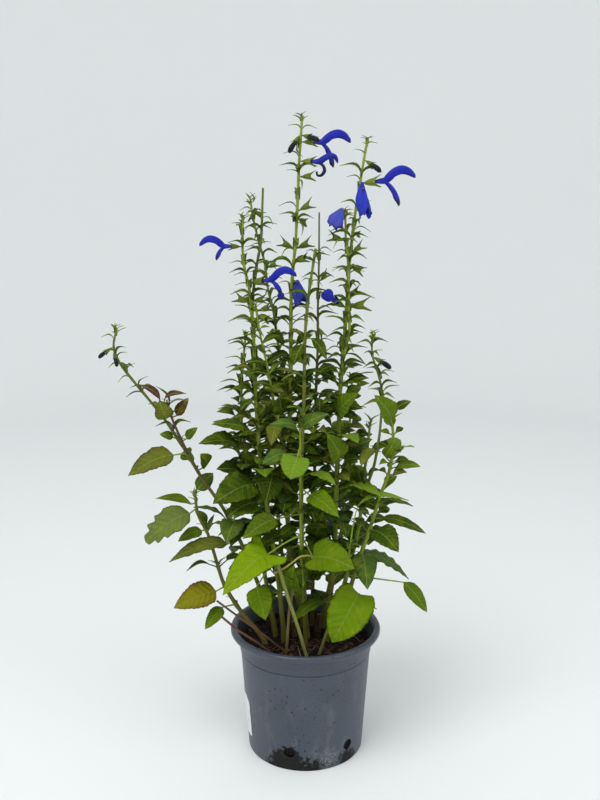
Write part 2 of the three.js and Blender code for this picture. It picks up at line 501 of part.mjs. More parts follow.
// A corolla: a tube that opens into an arched hood and a hanging lower lip with two lobes
function bloomSolid(mouth, along, up, scale, state) {
  const open = state === "open";
  const hood = courseRings(open ? HOOD : HOOD_CURLED, mouth, along, up, scale, hexRing);
  const hoodEnd = hood[hood.length - 1];
  const tip = hoodEnd[0].clone().add(hoodEnd[3]).multiplyScalar(0.5)
    .addScaledVector(along, 1.6 * scale).addScaledVector(up, -2.4 * scale);
  const lip = courseRings(open ? LIP : LIP_CURLED, mouth, along, up, scale, ring);
  if (open) {
    const notch = lip[lip.length - 1];
    notch[1].addScaledVector(up, 3.4 * scale);
    notch[3].addScaledVector(up, 3.4 * scale);
  }
  return loft(hood, tip).add(loft(lip));
}

// A closed bud: the tip of the corolla, club shaped
function budSolid(mouth, along, up, scale) {
  const course = [[0, 0, 1.5, 1.5], [3, 0, 2.5, 2.5], [9, -0.8, 3, 3]];
  const rings = courseRings(course, mouth, along, up, scale, hexRing);
  const tip = mouth.clone().addScaledVector(along, 13 * scale).addScaledVector(up, -2.6 * scale);
  return loft(rings, tip);
}

// The pot: a tapered wall with a groove, a flared lip and round drain holes above the floor
function potSolid() {
  const wallAt = (z) => FOOT_RADIUS + (z - 1.2) * WALL_LEAN;
  const profile = [
    [0, 0], [FOOT_RADIUS - 1.2, 0], [FOOT_RADIUS, 1.2], [wallAt(GROOVE_HEIGHT - 0.6), GROOVE_HEIGHT - 0.6],
    [wallAt(GROOVE_HEIGHT) - 0.6, GROOVE_HEIGHT], [74.6, GROOVE_HEIGHT + 1.4], [76.2, 136],
    [LIP_RADIUS - 2, 137], [LIP_RADIUS, 139.2], [LIP_RADIUS, 142.2], [LIP_RADIUS - 1.8, POT_HEIGHT],
    [LIP_RADIUS - 6, POT_HEIGHT], [76.4, 138.5], [wallAt(131) - WALL, 131], [wallAt(FLOOR) - WALL, FLOOR],
    [0, FLOOR],
  ];
  const lathe = new THREE.LatheGeometry(profile.map(([r, z]) => new THREE.Vector2(r, z)), POT_SIDES);
  lathe.rotateX(Math.PI / 2);
  let pot = solidFrom(lathe);
  for (let k = 0; k < DRAIN_HOLES; k++) {
    const cutter = new THREE.CylinderGeometry(DRAIN_RADIUS, DRAIN_RADIUS, 12, 8);
    cutter.rotateZ(Math.PI / 2);
    cutter.translate(FOOT_RADIUS, 0, DRAIN_HEIGHT);
    cutter.rotateZ(radians(DRAIN_TURN + (360 / DRAIN_HOLES) * k));
    pot = pot.subtract(solidFrom(cutter));
  }
  return pot;
}

// Height of the compost over the pot's floor plan: a low mound with lumps
function soilHeight(x, y) {
  const r = Math.hypot(x, y);
  const lumps = 1.3 * Math.sin(x * 0.31 + 1.2) * Math.sin(y * 0.27) + 1.1 * Math.sin(x * 0.13 - y * 0.21);
  return SOIL_HEIGHT + 2.4 * (1 - (r / 72) ** 2) + lumps;
}

// The compost: a filling with a lumpy top, bark chips standing out of it, and a plain hole for each stem
function soilSolid(stems) {
  const spokes = 22;
  const radii = [0, 16, 32, 48, 62, 72.3];
  const points = [vector(0, 0, soilHeight(0, 0))];
  const triangles = [];
  for (const r of radii.slice(1)) {
    for (let k = 0; k < spokes; k++) {
      const a = (2 * Math.PI * k) / spokes;
      const [x, y] = [r * Math.cos(a), r * Math.sin(a)];
      points.push(vector(x, y, Math.min(soilHeight(x, y), r > 70 ? SOIL_HEIGHT - 0.6 : 140)));
    }
  }
  const foot = FOOT_RADIUS - WALL - GAP - 0.2;
  for (let k = 0; k < spokes; k++) {
    const a = (2 * Math.PI * k) / spokes;
    points.push(vector(foot * Math.cos(a), foot * Math.sin(a), FLOOR + GAP));
  }
  points.push(vector(0, 0, FLOOR + GAP));
  const rows = radii.length;
  for (let k = 0; k < spokes; k++) {
    const next = (k + 1) % spokes;
    triangles.push([0, 1 + k, 1 + next]);
    for (let i = 0; i + 1 < rows; i++) {
      const inner = 1 + i * spokes;
      const outer = inner + spokes;
      triangles.push([inner + k, outer + k, outer + next], [inner + k, outer + next, inner + next]);
    }
    const last = 1 + (rows - 1) * spokes;
    triangles.push([last + k, points.length - 1, last + next]);
  }
  let soil = solid(points, triangles);
  for (let k = 0; k < CHIPS; k++) {
    const a = k * 2.4;
    const r = 30 + 34 * chance(k, 3);
    const chip = new THREE.BoxGeometry(7 + 7 * chance(k, 5), 4 + 3 * chance(k, 7), 5);
    chip.rotateX(0.5 * chance(k, 9) - 0.25);
    chip.rotateY(0.7 * chance(k, 11) - 0.35);
    chip.rotateZ(6.3 * chance(k, 13));
    const [x, y] = [r * Math.cos(a), r * Math.sin(a)];
    chip.translate(x, y, soilHeight(x, y) + 0.6);
    soil = soil.add(solidFrom(chip));
  }
  for (const [x, y, radius] of stems) {
    const side = 2 * (radius * STEM_FLAT + GAP);
    const hole = new THREE.BoxGeometry(side, side, 60);
    hole.translate(x, y, HOLE_FLOOR + 30);
    soil = soil.subtract(solidFrom(hole));
  }
  return soil;
}

// The sticker: a thin plain patch that follows the wall, with one cut corner
function labelSolid() {
  const steps = 6;
  const rings = [];
  for (let k = 0; k <= steps; k++) {
    const a = radians(-90 - 64 - (38 * k) / steps);
    const top = k === 0 ? 61 : 68;
    const point = (z, off) => {
      const r = FOOT_RADIUS + (z - 1.2) * WALL_LEAN + off;
      return vector(r * Math.cos(a), r * Math.sin(a), z);
    };
    rings.push([point(20, GAP), point(20, 1), point(top, 1), point(top, GAP)]);
  }
  return loft(rings);
}

// An old cut stub at the crown
function stubSolid(x, y, top, lean) {
  const course = [[x, y, STEM_FOOT], [x, y, 132], [x + lean, y - lean * 0.4, top]];
  return stemSolid([null, null, STUB_RADIUS, 3.4, course]);
}

const STUBS = [["old_stub_left", -12, -2, 160, -3], ["old_stub_right", 14, 8, 152, 2]];

const GREEN = new THREE.Color(0.22, 0.36, 0.07);
const BLUE = new THREE.Color(0.05, 0.07, 0.62);
const NAVY = new THREE.Color(0.03, 0.03, 0.12);

const group = new THREE.Group();

// One named mesh of the object from a solid
function addMesh(name, body, colour, roughness) {
  const made = body.getMesh();
  const positions = new Float32Array(made.numVert * 3);
  for (let i = 0; i < made.numVert; i++) {
    positions.set(made.vertProperties.subarray(i * made.numProp, i * made.numProp + 3), i * 3);
  }
  const geometry = new THREE.BufferGeometry();
  geometry.setAttribute("position", new THREE.BufferAttribute(positions, 3));
  geometry.setIndex(new THREE.BufferAttribute(new Uint32Array(made.triVerts), 1));
  const finish = new THREE.MeshStandardMaterial({ color: colour, roughness, metalness: 0 });
  const mesh = new THREE.Mesh(geometry, finish);
  mesh.name = name;
  group.add(mesh);
}

// Solids that have their place, each with its node, so that a new leaf can be kept clear of them
const placed = [];

function place(node, body) {
  placed.push({ node, body, box: body.boundingBox() });
}

function isClear(body, node, ownRoom, otherRoom) {
  const box = body.boundingBox();
  return placed.every((other) => {
    const room = other.node === node ? ownRoom : otherRoom;
    if (room < 0) return true;
    for (let i = 0; i < 3; i++) {
      if (box.min[i] > other.box.max[i] + room || other.box.min[i] > box.max[i] + room) return true;
    }
    return body.minGap(other.body, room + 0.01) > room;
  });
}

// The node that a stem belongs to
function nodeOf(name) {
  const row = STEMS.find((entry) => entry[0] === name);
  return row[1] ? nodeOf(row[1]) : row[0] + "_stem";
}

const fused = new Map();

function fuse(node, body) {
  if (!fused.has(node)) fused.set(node, []);
  fused.get(node).push(body);
}

// Turns tried for a leaf about the upright through its foot, and lifts about its own side line
const TURNS = [0, 9, -9, 18, -18, 27, -27, 38, -38, 50, -50, 64, -64, 80, -80];
const LIFTS = [0, 12, -12, 24];
let leftOff = 0;

function turned(point, root, turn, lift) {
  const out = point.clone().sub(root);
  const flat = vector(-out.y, out.x, 0).normalize();
  out.applyAxisAngle(flat, -radians(lift)).applyAxisAngle(vector(0, 0, 1), radians(turn));
  return out.add(root);
}

function addLeaf(name, height, base, tip, width, formName, hint, lifts, turns) {
  const node = nodeOf(name);
  const root = stemPoint(name, height);
  for (const lift of lifts) {
    for (const turn of turns) {
      const newBase = turned(base, root, turn, lift);
      const newTip = turned(tip, root, turn, lift);
      const newHint = hint.clone().applyAxisAngle(vector(0, 0, 1), radians(turn));
      const rings = leafRings(root, newBase, newTip, width, formName, newHint);
      const outer = loft(rings.slice(1), newTip);
      if (isClear(outer, node, 0.2, 0.35)) {
        place(node, outer);
        fuse(node, loft(rings, newTip));
        return true;
      }
    }
  }
  leftOff++;
  return false;
}

// Pot and its fittings come first, then stems, calyces and blooms, and leaves fill what room is left
const pot = potSolid();
const feet = STEMS.filter((row) => !row[1]).map((row) => [row[4][0][0], row[4][0][1], row[2]]);
const stubFeet = STUBS.map(([, x, y]) => [x, y, STUB_RADIUS]);
const soil = soilSolid([...feet, ...stubFeet]);
addMesh("pot", pot, new THREE.Color(0.09, 0.1, 0.13), 0.5);
addMesh("soil", soil, new THREE.Color(0.03, 0.02, 0.015), 0.95);
addMesh("pot_sticker", labelSolid(), new THREE.Color(0.85, 0.85, 0.85), 0.6);
place("pot", pot);
place("soil", soil);
for (const [name, x, y, top, lean] of STUBS) {
  const stub = stubSolid(x, y, top, lean);
  place(name, stub);
  addMesh(name, stub, new THREE.Color(0.16, 0.1, 0.05), 0.9);
}
for (const row of STEMS) {
  const stem = stemSolid(row);
  place(nodeOf(row[0]), stem);
  fuse(nodeOf(row[0]), stem);
}

// Calyces and buds of the sprig table
const seats = new Map();
let budCount = 0;
const flowering = SPRIGS.filter((row) => row[2] === "calyx" || row[2] === "bud");
flowering.forEach(([name, height, kind, angle, lean, scale]) => {
  const node = nodeOf(name);
  const root = stemPoint(name, height);
  const along = sprigDirection(angle, lean);
  const up = squareUp(along);
  const rings = calyxRings(root, along, up, scale);
  place(node, loft(rings));
  fuse(node, loft(rings));
  const mouth = root.clone().addScaledVector(along, MOUTH * scale);
  seats.set(name + height + kind, { mouth, along, up });
  if (kind === "bud") {
    const budName = "bud_" + name + "_" + (++budCount);
    const bud = budSolid(mouth, along, up, scale);
    place(budName, bud);
    addMesh(budName, bud, NAVY, 0.5);
  }
});
for (const [bloomName, stemName, height, scale, state] of BLOOMS) {
  const { mouth, along, up } = seats.get(stemName + height + "calyx");
  const bloom = bloomSolid(mouth, along, up, scale, state);
  place(bloomName, bloom);
  addMesh(bloomName, bloom, BLUE, 0.5);
}

for (const [name, height, base, tip, width, formName, tilt] of LEAVES) {
  addLeaf(name, height, vector(...base), vector(...tip), width, formName, vector(0, -tilt, 1), LIFTS, TURNS);
}
const smallLeaves = SPRIGS.filter((row) => row[2] === "bract" || row[2] === "lance");
smallLeaves.forEach(([name, height, kind, angle, lean, length]) => {
  const root = stemPoint(name, height);
  const along = sprigDirection(angle, lean);
  const tip = root.clone().addScaledVector(along, length + 1.2);
  const width = kind === "bract" ? 2.2 : length * 0.34;
  addLeaf(name, height, root, tip, width, kind, squareUp(along), LIFTS, TURNS);
});

// Leaf pairs up the leafy stretches, each pair turned a quarter from the one below
WHORLS.forEach(([name, low, high, spacing, lowLength, highLength, firstAngle], row) => {
  const pairs = Math.floor((high - low) / spacing) + 1;
  for (let i = 0; i < pairs; i++) {
    const height = low + spacing * i + 8 * (chance(row, i) - 0.5);
    for (let side = 0; side < 2; side++) {
      const share = i / Math.max(1, pairs - 1);
      const seed = row * 40 + i * 2 + side;
      const length = (lowLength + (highLength - lowLength) * share) * (0.82 + 0.36 * chance(seed, 1));
      const angle = radians(firstAngle + 90 * i + 180 * side + 30 * (chance(seed, 2) - 0.5));
      const droop = -0.25 + 0.6 * share + 0.3 * (chance(seed, 3) - 0.5);
      const root = stemPoint(name, height);
      const out = vector(Math.cos(angle), Math.sin(angle), 0);
      const stalk = length * (0.34 - 0.22 * share);
      const base = root.clone().addScaledVector(out, stalk).add(vector(0, 0, stalk * (0.5 - 0.2 * share)));
      const tip = base.clone().addScaledVector(out, length * 0.92).add(vector(0, 0, length * droop));
      const broad = length > 33;
      const width = length * (broad ? 0.5 : 0.36);
      addLeaf(name, height, base, tip, width, broad ? "small" : "lance", vector(0, 0, 1), LIFTS, TURNS);
    }
  }
});

for (const [node, bodies] of fused) {
  addMesh(node, wasm.Manifold.union(bodies), GREEN, 0.6);
}

export default group;
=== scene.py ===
# %% [markdown]
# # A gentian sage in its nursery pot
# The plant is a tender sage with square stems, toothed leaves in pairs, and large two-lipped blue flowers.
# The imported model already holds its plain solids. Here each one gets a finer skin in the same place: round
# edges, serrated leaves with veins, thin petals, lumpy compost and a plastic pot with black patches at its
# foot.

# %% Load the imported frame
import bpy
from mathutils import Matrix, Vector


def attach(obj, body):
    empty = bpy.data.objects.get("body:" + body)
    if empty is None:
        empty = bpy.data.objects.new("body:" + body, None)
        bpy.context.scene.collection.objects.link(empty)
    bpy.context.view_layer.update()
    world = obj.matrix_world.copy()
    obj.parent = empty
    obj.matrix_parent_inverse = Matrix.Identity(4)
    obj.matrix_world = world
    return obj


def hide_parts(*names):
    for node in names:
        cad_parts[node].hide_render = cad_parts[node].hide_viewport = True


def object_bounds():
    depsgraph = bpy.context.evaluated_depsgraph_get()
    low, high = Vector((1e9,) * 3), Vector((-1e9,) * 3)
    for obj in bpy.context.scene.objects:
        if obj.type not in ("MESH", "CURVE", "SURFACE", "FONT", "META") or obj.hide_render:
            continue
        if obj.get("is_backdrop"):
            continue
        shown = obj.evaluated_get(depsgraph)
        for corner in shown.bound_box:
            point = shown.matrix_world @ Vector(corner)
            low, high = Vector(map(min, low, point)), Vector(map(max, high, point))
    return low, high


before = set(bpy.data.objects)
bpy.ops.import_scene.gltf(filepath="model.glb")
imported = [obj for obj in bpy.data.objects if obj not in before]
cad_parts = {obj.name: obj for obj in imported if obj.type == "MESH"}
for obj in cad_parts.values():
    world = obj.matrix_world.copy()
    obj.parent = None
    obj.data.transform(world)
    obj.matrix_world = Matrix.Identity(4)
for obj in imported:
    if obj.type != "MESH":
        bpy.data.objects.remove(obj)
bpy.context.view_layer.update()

import math
import random
import bpy
import numpy as np
from mathutils import Vector, noise as cloud_noise
from mathutils.kdtree import KDTree

# %% [markdown]
# ## Colours
# Blender reckons in linear light, while colours are usually picked on a screen, whose numbers are bent by a
# curve. One small function undoes that curve, so that every colour below can be given as a painter would
# read it off a swatch, from 0 to 255.

# %% Colours as a painter picks them
def paint(red, green, blue):
    """A linear colour from screen values of 0 to 255."""
    linear = (((c / 255 + 0.055) / 1.055) ** 2.4 if c > 10 else c / 3295 for c in (red, green, blue))
    return (*linear, 1.0)


LEAF_TONES = {
    "bright": paint(128, 160, 6), "lime": paint(96, 126, 6), "fresh": paint(106, 138, 34),
    "mid": paint(80, 106, 14), "dark": paint(50, 72, 6), "blue": paint(68, 96, 34),
    "grey": paint(100, 118, 56), "olive": paint(100, 108, 34), "yellow": paint(140, 136, 20),
    "red": paint(84, 50, 34),
}
STEM_GREEN = paint(134, 150, 46)
STEM_BROWN = paint(96, 88, 34)
STEM_PURPLE = paint(84, 58, 44)
BLUE = paint(10, 24, 158)
NAVY = paint(16, 18, 62)
print("leaf tones:", len(LEAF_TONES))

# %% [markdown]
# ## Writing shader maths like sums
# A material is a graph of nodes. Drawing that graph by hand is slow to read in a script, so one class wraps
# a socket and overloads the arithmetic signs: `1 - mask` adds a Math node with the two values in place.
# Any other node comes from one function that takes its type, its settings and its sockets.

# %% A socket that can be reckoned with
class Wire:
    """The output of a shader node, used like a number."""

    def __init__(self, tree, socket):
        self.tree = tree
        self.socket = socket

    def math(self, operation, *others):
        return node(self.tree, "ShaderNodeMath", {"operation": operation}, dict(enumerate((self,) + others)))

    def __add__(self, other):
        return self.math("ADD", other)

    def __sub__(self, other):
        return self.math("SUBTRACT", other)

    def __mul__(self, other):
        return self.math("MULTIPLY", other)

    def __rsub__(self, other):
        return node(self.tree, "ShaderNodeMath", {"operation": "SUBTRACT"}, {0: other, 1: self})

    def step(self, low, high):
        """Rises softly from 0 to 1 between two limits, or falls where low is over high."""
        return node(self.tree, "ShaderNodeMapRange", {"interpolation_type": "SMOOTHSTEP"},
                    {"Value": self, "From Min": low, "From Max": high})

    __radd__ = __add__
    __rmul__ = __mul__


def node(tree, kind, settings=None, sockets=None, output=0):
    """Adds a node, sets it up, fills or links its sockets, and returns one of its outputs."""
    made = tree.nodes.new(kind)
    for key, value in (settings or {}).items():
        setattr(made, key, value)
    for key, value in (sockets or {}).items():
        if isinstance(value, Wire):
            tree.links.new(value.socket, made.inputs[key])
        else:
            made.inputs[key].default_value = value
    return Wire(tree, made.outputs[output])


def mix(factor, first, second):
    """Blends two colours: the first where factor is 0, the second where it is 1."""
    return node(factor.tree, "ShaderNodeMix", {"data_type": "RGBA"}, {0: factor, 6: first, 7: second}, 2)


def on_object(tree):
    """The place on the object, in metres."""
    return node(tree, "ShaderNodeTexCoord", output=3)


def part(wire, axis):
    """One of the three numbers of a vector wire."""
    return node(wire.tree, "ShaderNodeSeparateXYZ", {}, {0: wire}, axis)


def noise(tree, scale, detail=3.0, stretch=(1, 1, 1)):
    """Cloudy noise fixed to the object; scale is features per metre."""
    place = node(tree, "ShaderNodeMapping", {}, {"Vector": on_object(tree), "Scale": stretch})
    return node(tree, "ShaderNodeTexNoise", {},
                {"Vector": place, "Scale": scale, "Detail": detail, "Roughness": 0.55})


def finish(name, roughness, **constants):
    """A new material: its tree and its main shader, with constants set on the shader's own sockets."""
    material = bpy.data.materials.new(name)
    material.use_nodes = True
    tree = material.node_tree
    shader = tree.nodes["Principled BSDF"]
    shader.inputs["Roughness"].default_value = roughness
    for key, value in constants.items():
        shader.inputs[key.replace("_", " ")].default_value = value
    return material, tree, shader


def feed(shader, socket, value):
    """Links a wire to a socket of the main shader."""
    value.tree.links.new(value.socket, shader.inputs[socket])


def bump(shader, height, distance, strength=1.0):
    """Bends the main shader's normal by a height of 0 to 1 that stands for a distance in metres."""
    feed(shader, "Normal", node(height.tree, "ShaderNodeBump", {},
                                {"Height": height, "Distance": distance, "Strength": strength}))


print("shader helpers ready")

# %% [markdown]
# ## What the mesh tells the shader
# Each leaf needs its own green, and its veins must follow its own midrib. Both are stored on the corners of
# the mesh: `tint` is a colour, and `blade` holds the place across the blade (-1 to 1), the place along it
# (0 to 1), and the half width there in millimetres, so that a vein can be given a real thickness.

# %% The leaf finish: midrib, side veins, net and pale underside
def stored(tree, name, output):
    """A value kept on the mesh: output 0 is its colour, 1 its vector and 3 its alpha."""
    return node(tree, "ShaderNodeAttribute", {"attribute_name": name}, {}, output)


def leaf_finish():
    material, tree, shader = finish("sage_leaf", 0.55, Specular_IOR_Level=0.07)
    tint = stored(tree, "tint", 0)
    top = stored(tree, "tint", 3)
    blade = stored(tree, "blade", 1)
    side, along, half = part(blade, 0).math("ABSOLUTE"), part(blade, 1), part(blade, 2)
    midrib = (side * half).step(0.75, 0.25)
    course = (along - side * 0.2) * 8
    gap = (course.math("FRACT") - 0.5).math("ABSOLUTE")
    wide = half.step(2.5, 6)
    side_vein = gap.step(0.1, 0.02) * wide * side.step(1.05, 0.8)
    cells = node(tree, "ShaderNodeTexVoronoi", {"feature": "DISTANCE_TO_EDGE"},
                 {"Vector": on_object(tree), "Scale": 520})
    net = cells.step(0.12, 0.02) * wide
    patch = noise(tree, 70).step(0.35, 0.7)
    speck = noise(tree, 420, 2).step(0.6, 0.72)
    colour = mix(patch * 0.3, tint, mix(patch, tint, paint(140, 150, 20)))
    colour = mix(net * 0.14, colour, paint(38, 56, 14))
    colour = mix(speck * 0.16, colour, paint(150, 150, 96))
    colour = mix(side_vein * 0.11, colour, paint(150, 168, 80))
    colour = mix(midrib * 0.34, colour, paint(160, 172, 90))
    colour = mix((1 - top) * 0.4, colour, paint(124, 142, 84))
    feed(shader, "Base Color", colour)
    feed(shader, "Roughness", noise(tree, 160) * 0.2 + 0.46)
    relief = gap.step(0.0, 0.5) * wide * 0.8 - net * 0.25 - midrib * 0.6 + noise(tree, 600) * 0.3
    bump(shader, relief, 0.0009, 0.8)
    return material


LEAF = leaf_finish()
print("finish:", LEAF.name)

# %% [markdown]
# ## Stems, calyces and petals
# Stems are ribbed and downy, so their noise is stretched along Z and their bump is fine. Calyces have raised
# ribs. Petals are thin and matt, with darker lines that run along them, like the veins of a real corolla. The
# blue clouds and veins fade out where the tint holds no blue, so the near black buds stay plain.

# %% Stem, calyx and petal finishes
def stem_finish():
    material, tree, shader = finish("sage_stem", 0.55, Specular_IOR_Level=0.2)
    tint = stored(tree, "tint", 0)
    streak = noise(tree, 900, 2, (1, 1, 0.05)).step(0.4, 0.65)
    blotch = noise(tree, 90).step(0.5, 0.75)
    colour = mix(streak * 0.3, tint, paint(92, 96, 44))
    colour = mix(blotch * 0.3, colour, paint(116, 84, 56))
    feed(shader, "Base Color", colour)
    feed(shader, "Roughness", noise(tree, 300) * 0.25 + 0.42)
    bump(shader, streak * 0.5 + noise(tree, 1500) * 0.5, 0.0004, 0.7)
    return material


def calyx_finish():
    material, tree, shader = finish("sage_calyx", 0.55, Specular_IOR_Level=0.2)
    tint = stored(tree, "tint", 0)
    rib = (part(stored(tree, "blade", 1), 0) * 10).math("COSINE").step(0.2, 0.9)
    blotch = noise(tree, 240).step(0.45, 0.7)
    colour = mix(rib * 0.35, tint, paint(60, 66, 30))
    colour = mix(blotch * 0.25, colour, paint(84, 64, 52))
    feed(shader, "Base Color", colour)
    feed(shader, "Roughness", noise(tree, 300) * 0.2 + 0.45)
    bump(shader, rib * 0.6 + noise(tree, 1600) * 0.4, 0.0005, 0.8)
    return material


def petal_finish():
    material, tree, shader = finish("sage_petal", 0.5, Specular_IOR_Level=0.2, Sheen_Weight=0.08)
    tint = stored(tree, "tint", 0)
    line = (part(stored(tree, "blade", 1), 0) * 9 + noise(tree, 200) * 1.5).math("FRACT") - 0.5
    vein = line.math("ABSOLUTE").step(0.14, 0.02)
    cloud = noise(tree, 260).step(0.35, 0.7)
    blue = node(tree, "ShaderNodeSeparateColor", {}, {0: tint}, 2).step(0.02, 0.2)
    colour = mix(cloud * blue * 0.3, tint, mix(cloud, tint, paint(40, 60, 206)))
    colour = mix(vein * blue * 0.4, colour, paint(16, 18, 104))
    feed(shader, "Base Color", colour)
    feed(shader, "Roughness", cloud * 0.2 + 0.4)
    bump(shader, vein * -0.4 + noise(tree, 900) * 0.6, 0.0004, 0.8)
    return material


STEM = stem_finish()
CALYX_SKIN = calyx_finish()
PETAL = petal_finish()
print("finishes:", STEM.name, CALYX_SKIN.name, PETAL.name)

# %% [markdown]
# ## A skin made of rings
# Stalks, blades, calyces and petals are all tubes: a run of rings with the same number of corners. A leaf is
# a tube that has been pressed flat. One class gathers such tubes into one mesh, closes both ends, and keeps
# the tint and the blade values of every corner. Modifiers could round a rougher mesh, but then the teeth of
# a leaf would be lost, so the rings are simply made as fine as they need to be.

# %% The class that gathers tubes into a piece
MM = 0.001


class Skin:
    """Closed tubes in millimetres that become one mesh object."""

    def __init__(self):
        self.points, self.faces, self.slots, self.tints, self.blades = [], [], [], [], []
        self.finishes = []
        self.count = 0

    def tube(self, rings, material, tint, blade=(0, 0, 1)):
        """Adds a closed tube; tint and blade are one value, or one for each corner of each ring."""
        rings = np.asarray(rings, float)
        rows, around = rings.shape[:2]
        if material not in self.finishes:
            self.finishes.append(material)
        index = np.arange(rows * around).reshape(rows, around) + self.count
        side = np.roll(index, -1, axis=1)
        quads = np.stack([index[:-1], side[:-1], side[1:], index[1:]], axis=-1).reshape(-1, 4)
        faces = quads.tolist() + [index[0][::-1].tolist(), index[-1].tolist()]
        centres = rings.mean(axis=1)
        spokes = rings[:-1] - centres[:-1, None]
        turns = np.cross(spokes, np.roll(spokes, -1, axis=1)).sum(axis=1)
        if (turns * np.diff(centres, axis=0)).sum() < 0:
            faces = [face[::-1] for face in faces]
        self.faces += faces
        self.slots += [self.finishes.index(material)] * (len(quads) + 2)
        self.points.append(rings.reshape(-1, 3))
        self.tints.append(np.broadcast_to(np.asarray(tint, float), (rows, around, 4)).reshape(-1, 4))
        self.blades.append(np.broadcast_to(np.asarray(blade, float), (rows, around, 3)).reshape(-1, 3))
        self.count += rows * around

    def piece(self, name, slot, *nodes):
        """Makes the object, ties it to the frame and hides the imported nodes that it stands for."""
        mesh = bpy.data.meshes.new(name)
        mesh.from_pydata((np.concatenate(self.points) * MM).tolist(), [], self.faces)
        for material in self.finishes:
            mesh.materials.append(material)
        mesh.polygons.foreach_set("material_index", self.slots)
        mesh.polygons.foreach_set("use_smooth", [True] * len(self.faces))
        colours = mesh.attributes.new("tint", "FLOAT_COLOR", "POINT")
        colours.data.foreach_set("color", np.concatenate(self.tints).ravel())
        places = mesh.attributes.new("blade", "FLOAT_VECTOR", "POINT")
        places.data.foreach_set("vector", np.concatenate(self.blades).ravel())
        mesh.validate()
        made = bpy.data.objects.new(name, mesh)
        bpy.context.scene.collection.objects.link(made)
        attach(made, "root")
        if nodes:
            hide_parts(*nodes)
        return made


UPRIGHT = np.array([0.0, 0.0, 1.0])


def unit(vector):
    """A vector of the same direction, one long."""
    return vector / np.linalg.norm(vector)


def spun(vector, axis, degrees):
    """A vector turned about a unit axis."""
    angle = math.radians(degrees)
    return (vector * math.cos(angle) + np.cross(axis, vector) * math.sin(angle)
            + axis * np.dot(axis, vector) * (1 - math.cos(angle)))


def limited(value):
    """A value held between 0 and 1."""
    return min(1.0, max(0.0, value))


def blend(first, second, share):
    """A colour on the way from the first to the second."""
    return np.array(first) * (1 - share) + np.array(second) * share


def ring_about(centre, right, up, angles, wide, high):
    """Points round a centre; the half width and the half height may be lists, one value for an angle."""
    return centre + np.outer(np.cos(angles) * wide, right) + np.outer(np.sin(angles) * high, up)


def chance(a, b):
    """A repeatable number from 0 to 1 for two whole numbers."""
    wave = math.sin(a * 12.9898 + b * 78.233) * 43758.5453
    return wave - math.floor(wave)


def eased(table, column, places):
    """Values of a table column at places along its first column, joined smoothly."""
    rows = np.asarray([row[:column + 1] for row in table], float)
    known, values = rows[:, 0], rows[:, column]
    fine = np.interp(places, known, values)
    slopes = np.gradient(values, known)
    k = np.clip(np.searchsorted(known, places) - 1, 0, len(known) - 2)
    width = known[k + 1] - known[k]
    t = np.clip((places - known[k]) / width, 0, 1)
    curve = ((2 * t ** 3 - 3 * t ** 2 + 1) * values[k] + (t ** 3 - 2 * t ** 2 + t) * width * slopes[k]
             + (3 * t ** 2 - 2 * t ** 3) * values[k + 1] + (t ** 3 - t ** 2) * width * slopes[k + 1])
    return 0.75 * curve + 0.25 * fine


print("mesh helpers ready")

# %% [markdown]
# ## The pot
# A blown or pressed nursery pot is a thin tapered wall with a rolled lip. Spinning one closed profile gives
# both sides of the wall at once. The drain holes are cut with a Boolean modifier, which is then applied, so
# that no cutter stays in the scene.

# %% The pot's profile and its drain holes
FOOT_RADIUS = 65.7
WALL = 1.4
FLOOR = 2.0
WALL_LEAN = 0.0696
GROOVE_HEIGHT = 117.0
LIP_RADIUS = 85.0
POT_HEIGHT = 144.4
DRAIN_HOLES = 6
DRAIN_RADIUS = 6.2
DRAIN_HEIGHT = 22.0
DRAIN_TURN = -105.6
POT_SPOKES = 144


def wall_at(height):
    """The outer radius of the pot's side at a height."""
    return FOOT_RADIUS + (height - 1.2) * WALL_LEAN


def pot_profile():
    """Radius and height from the middle of the underside, over the lip, to the middle of the floor."""
    outside = [(0, 0.6), (FOOT_RADIUS - 9, 0.6), (FOOT_RADIUS - 7, 0), (FOOT_RADIUS - 1.2, 0),
               (FOOT_RADIUS - 0.3, 0.35), (FOOT_RADIUS, 1.2)]
    outside += [(wall_at(z), z) for z in np.linspace(8, GROOVE_HEIGHT - 0.9, 12)]
    groove = wall_at(GROOVE_HEIGHT)
    outside += [(groove - 0.7, GROOVE_HEIGHT - 0.2), (groove - 0.2, GROOVE_HEIGHT + 0.4),
                (74.6, GROOVE_HEIGHT + 1.2), (75.2, 124), (76.0, 134), (77.4, 135.6)]
    lip = [(LIP_RADIUS - 3, 136.6), (LIP_RADIUS - 1, 137.7), (LIP_RADIUS, 139.6), (LIP_RADIUS, 141.8),
           (LIP_RADIUS - 0.8, 143.6), (LIP_RADIUS - 2.4, POT_HEIGHT), (LIP_RADIUS - 5, POT_HEIGHT - 0.2),
           (LIP_RADIUS - 7, 143), (76.6, 139.4), (75.4, 136)]
    inside = [(wall_at(z) - WALL, z) for z in (131, 110, 80, 50, 20, FLOOR + 2)]
    return outside + lip + inside + [(wall_at(FLOOR) - WALL - 2, FLOOR), (0, FLOOR)]


def spun_rings(profile, spokes):
    angles = np.linspace(0, 2 * math.pi, spokes, endpoint=False)
    return [[(max(r, 0.05) * math.cos(a), max(r, 0.05) * math.sin(a), z) for a in angles] for r, z in profile]


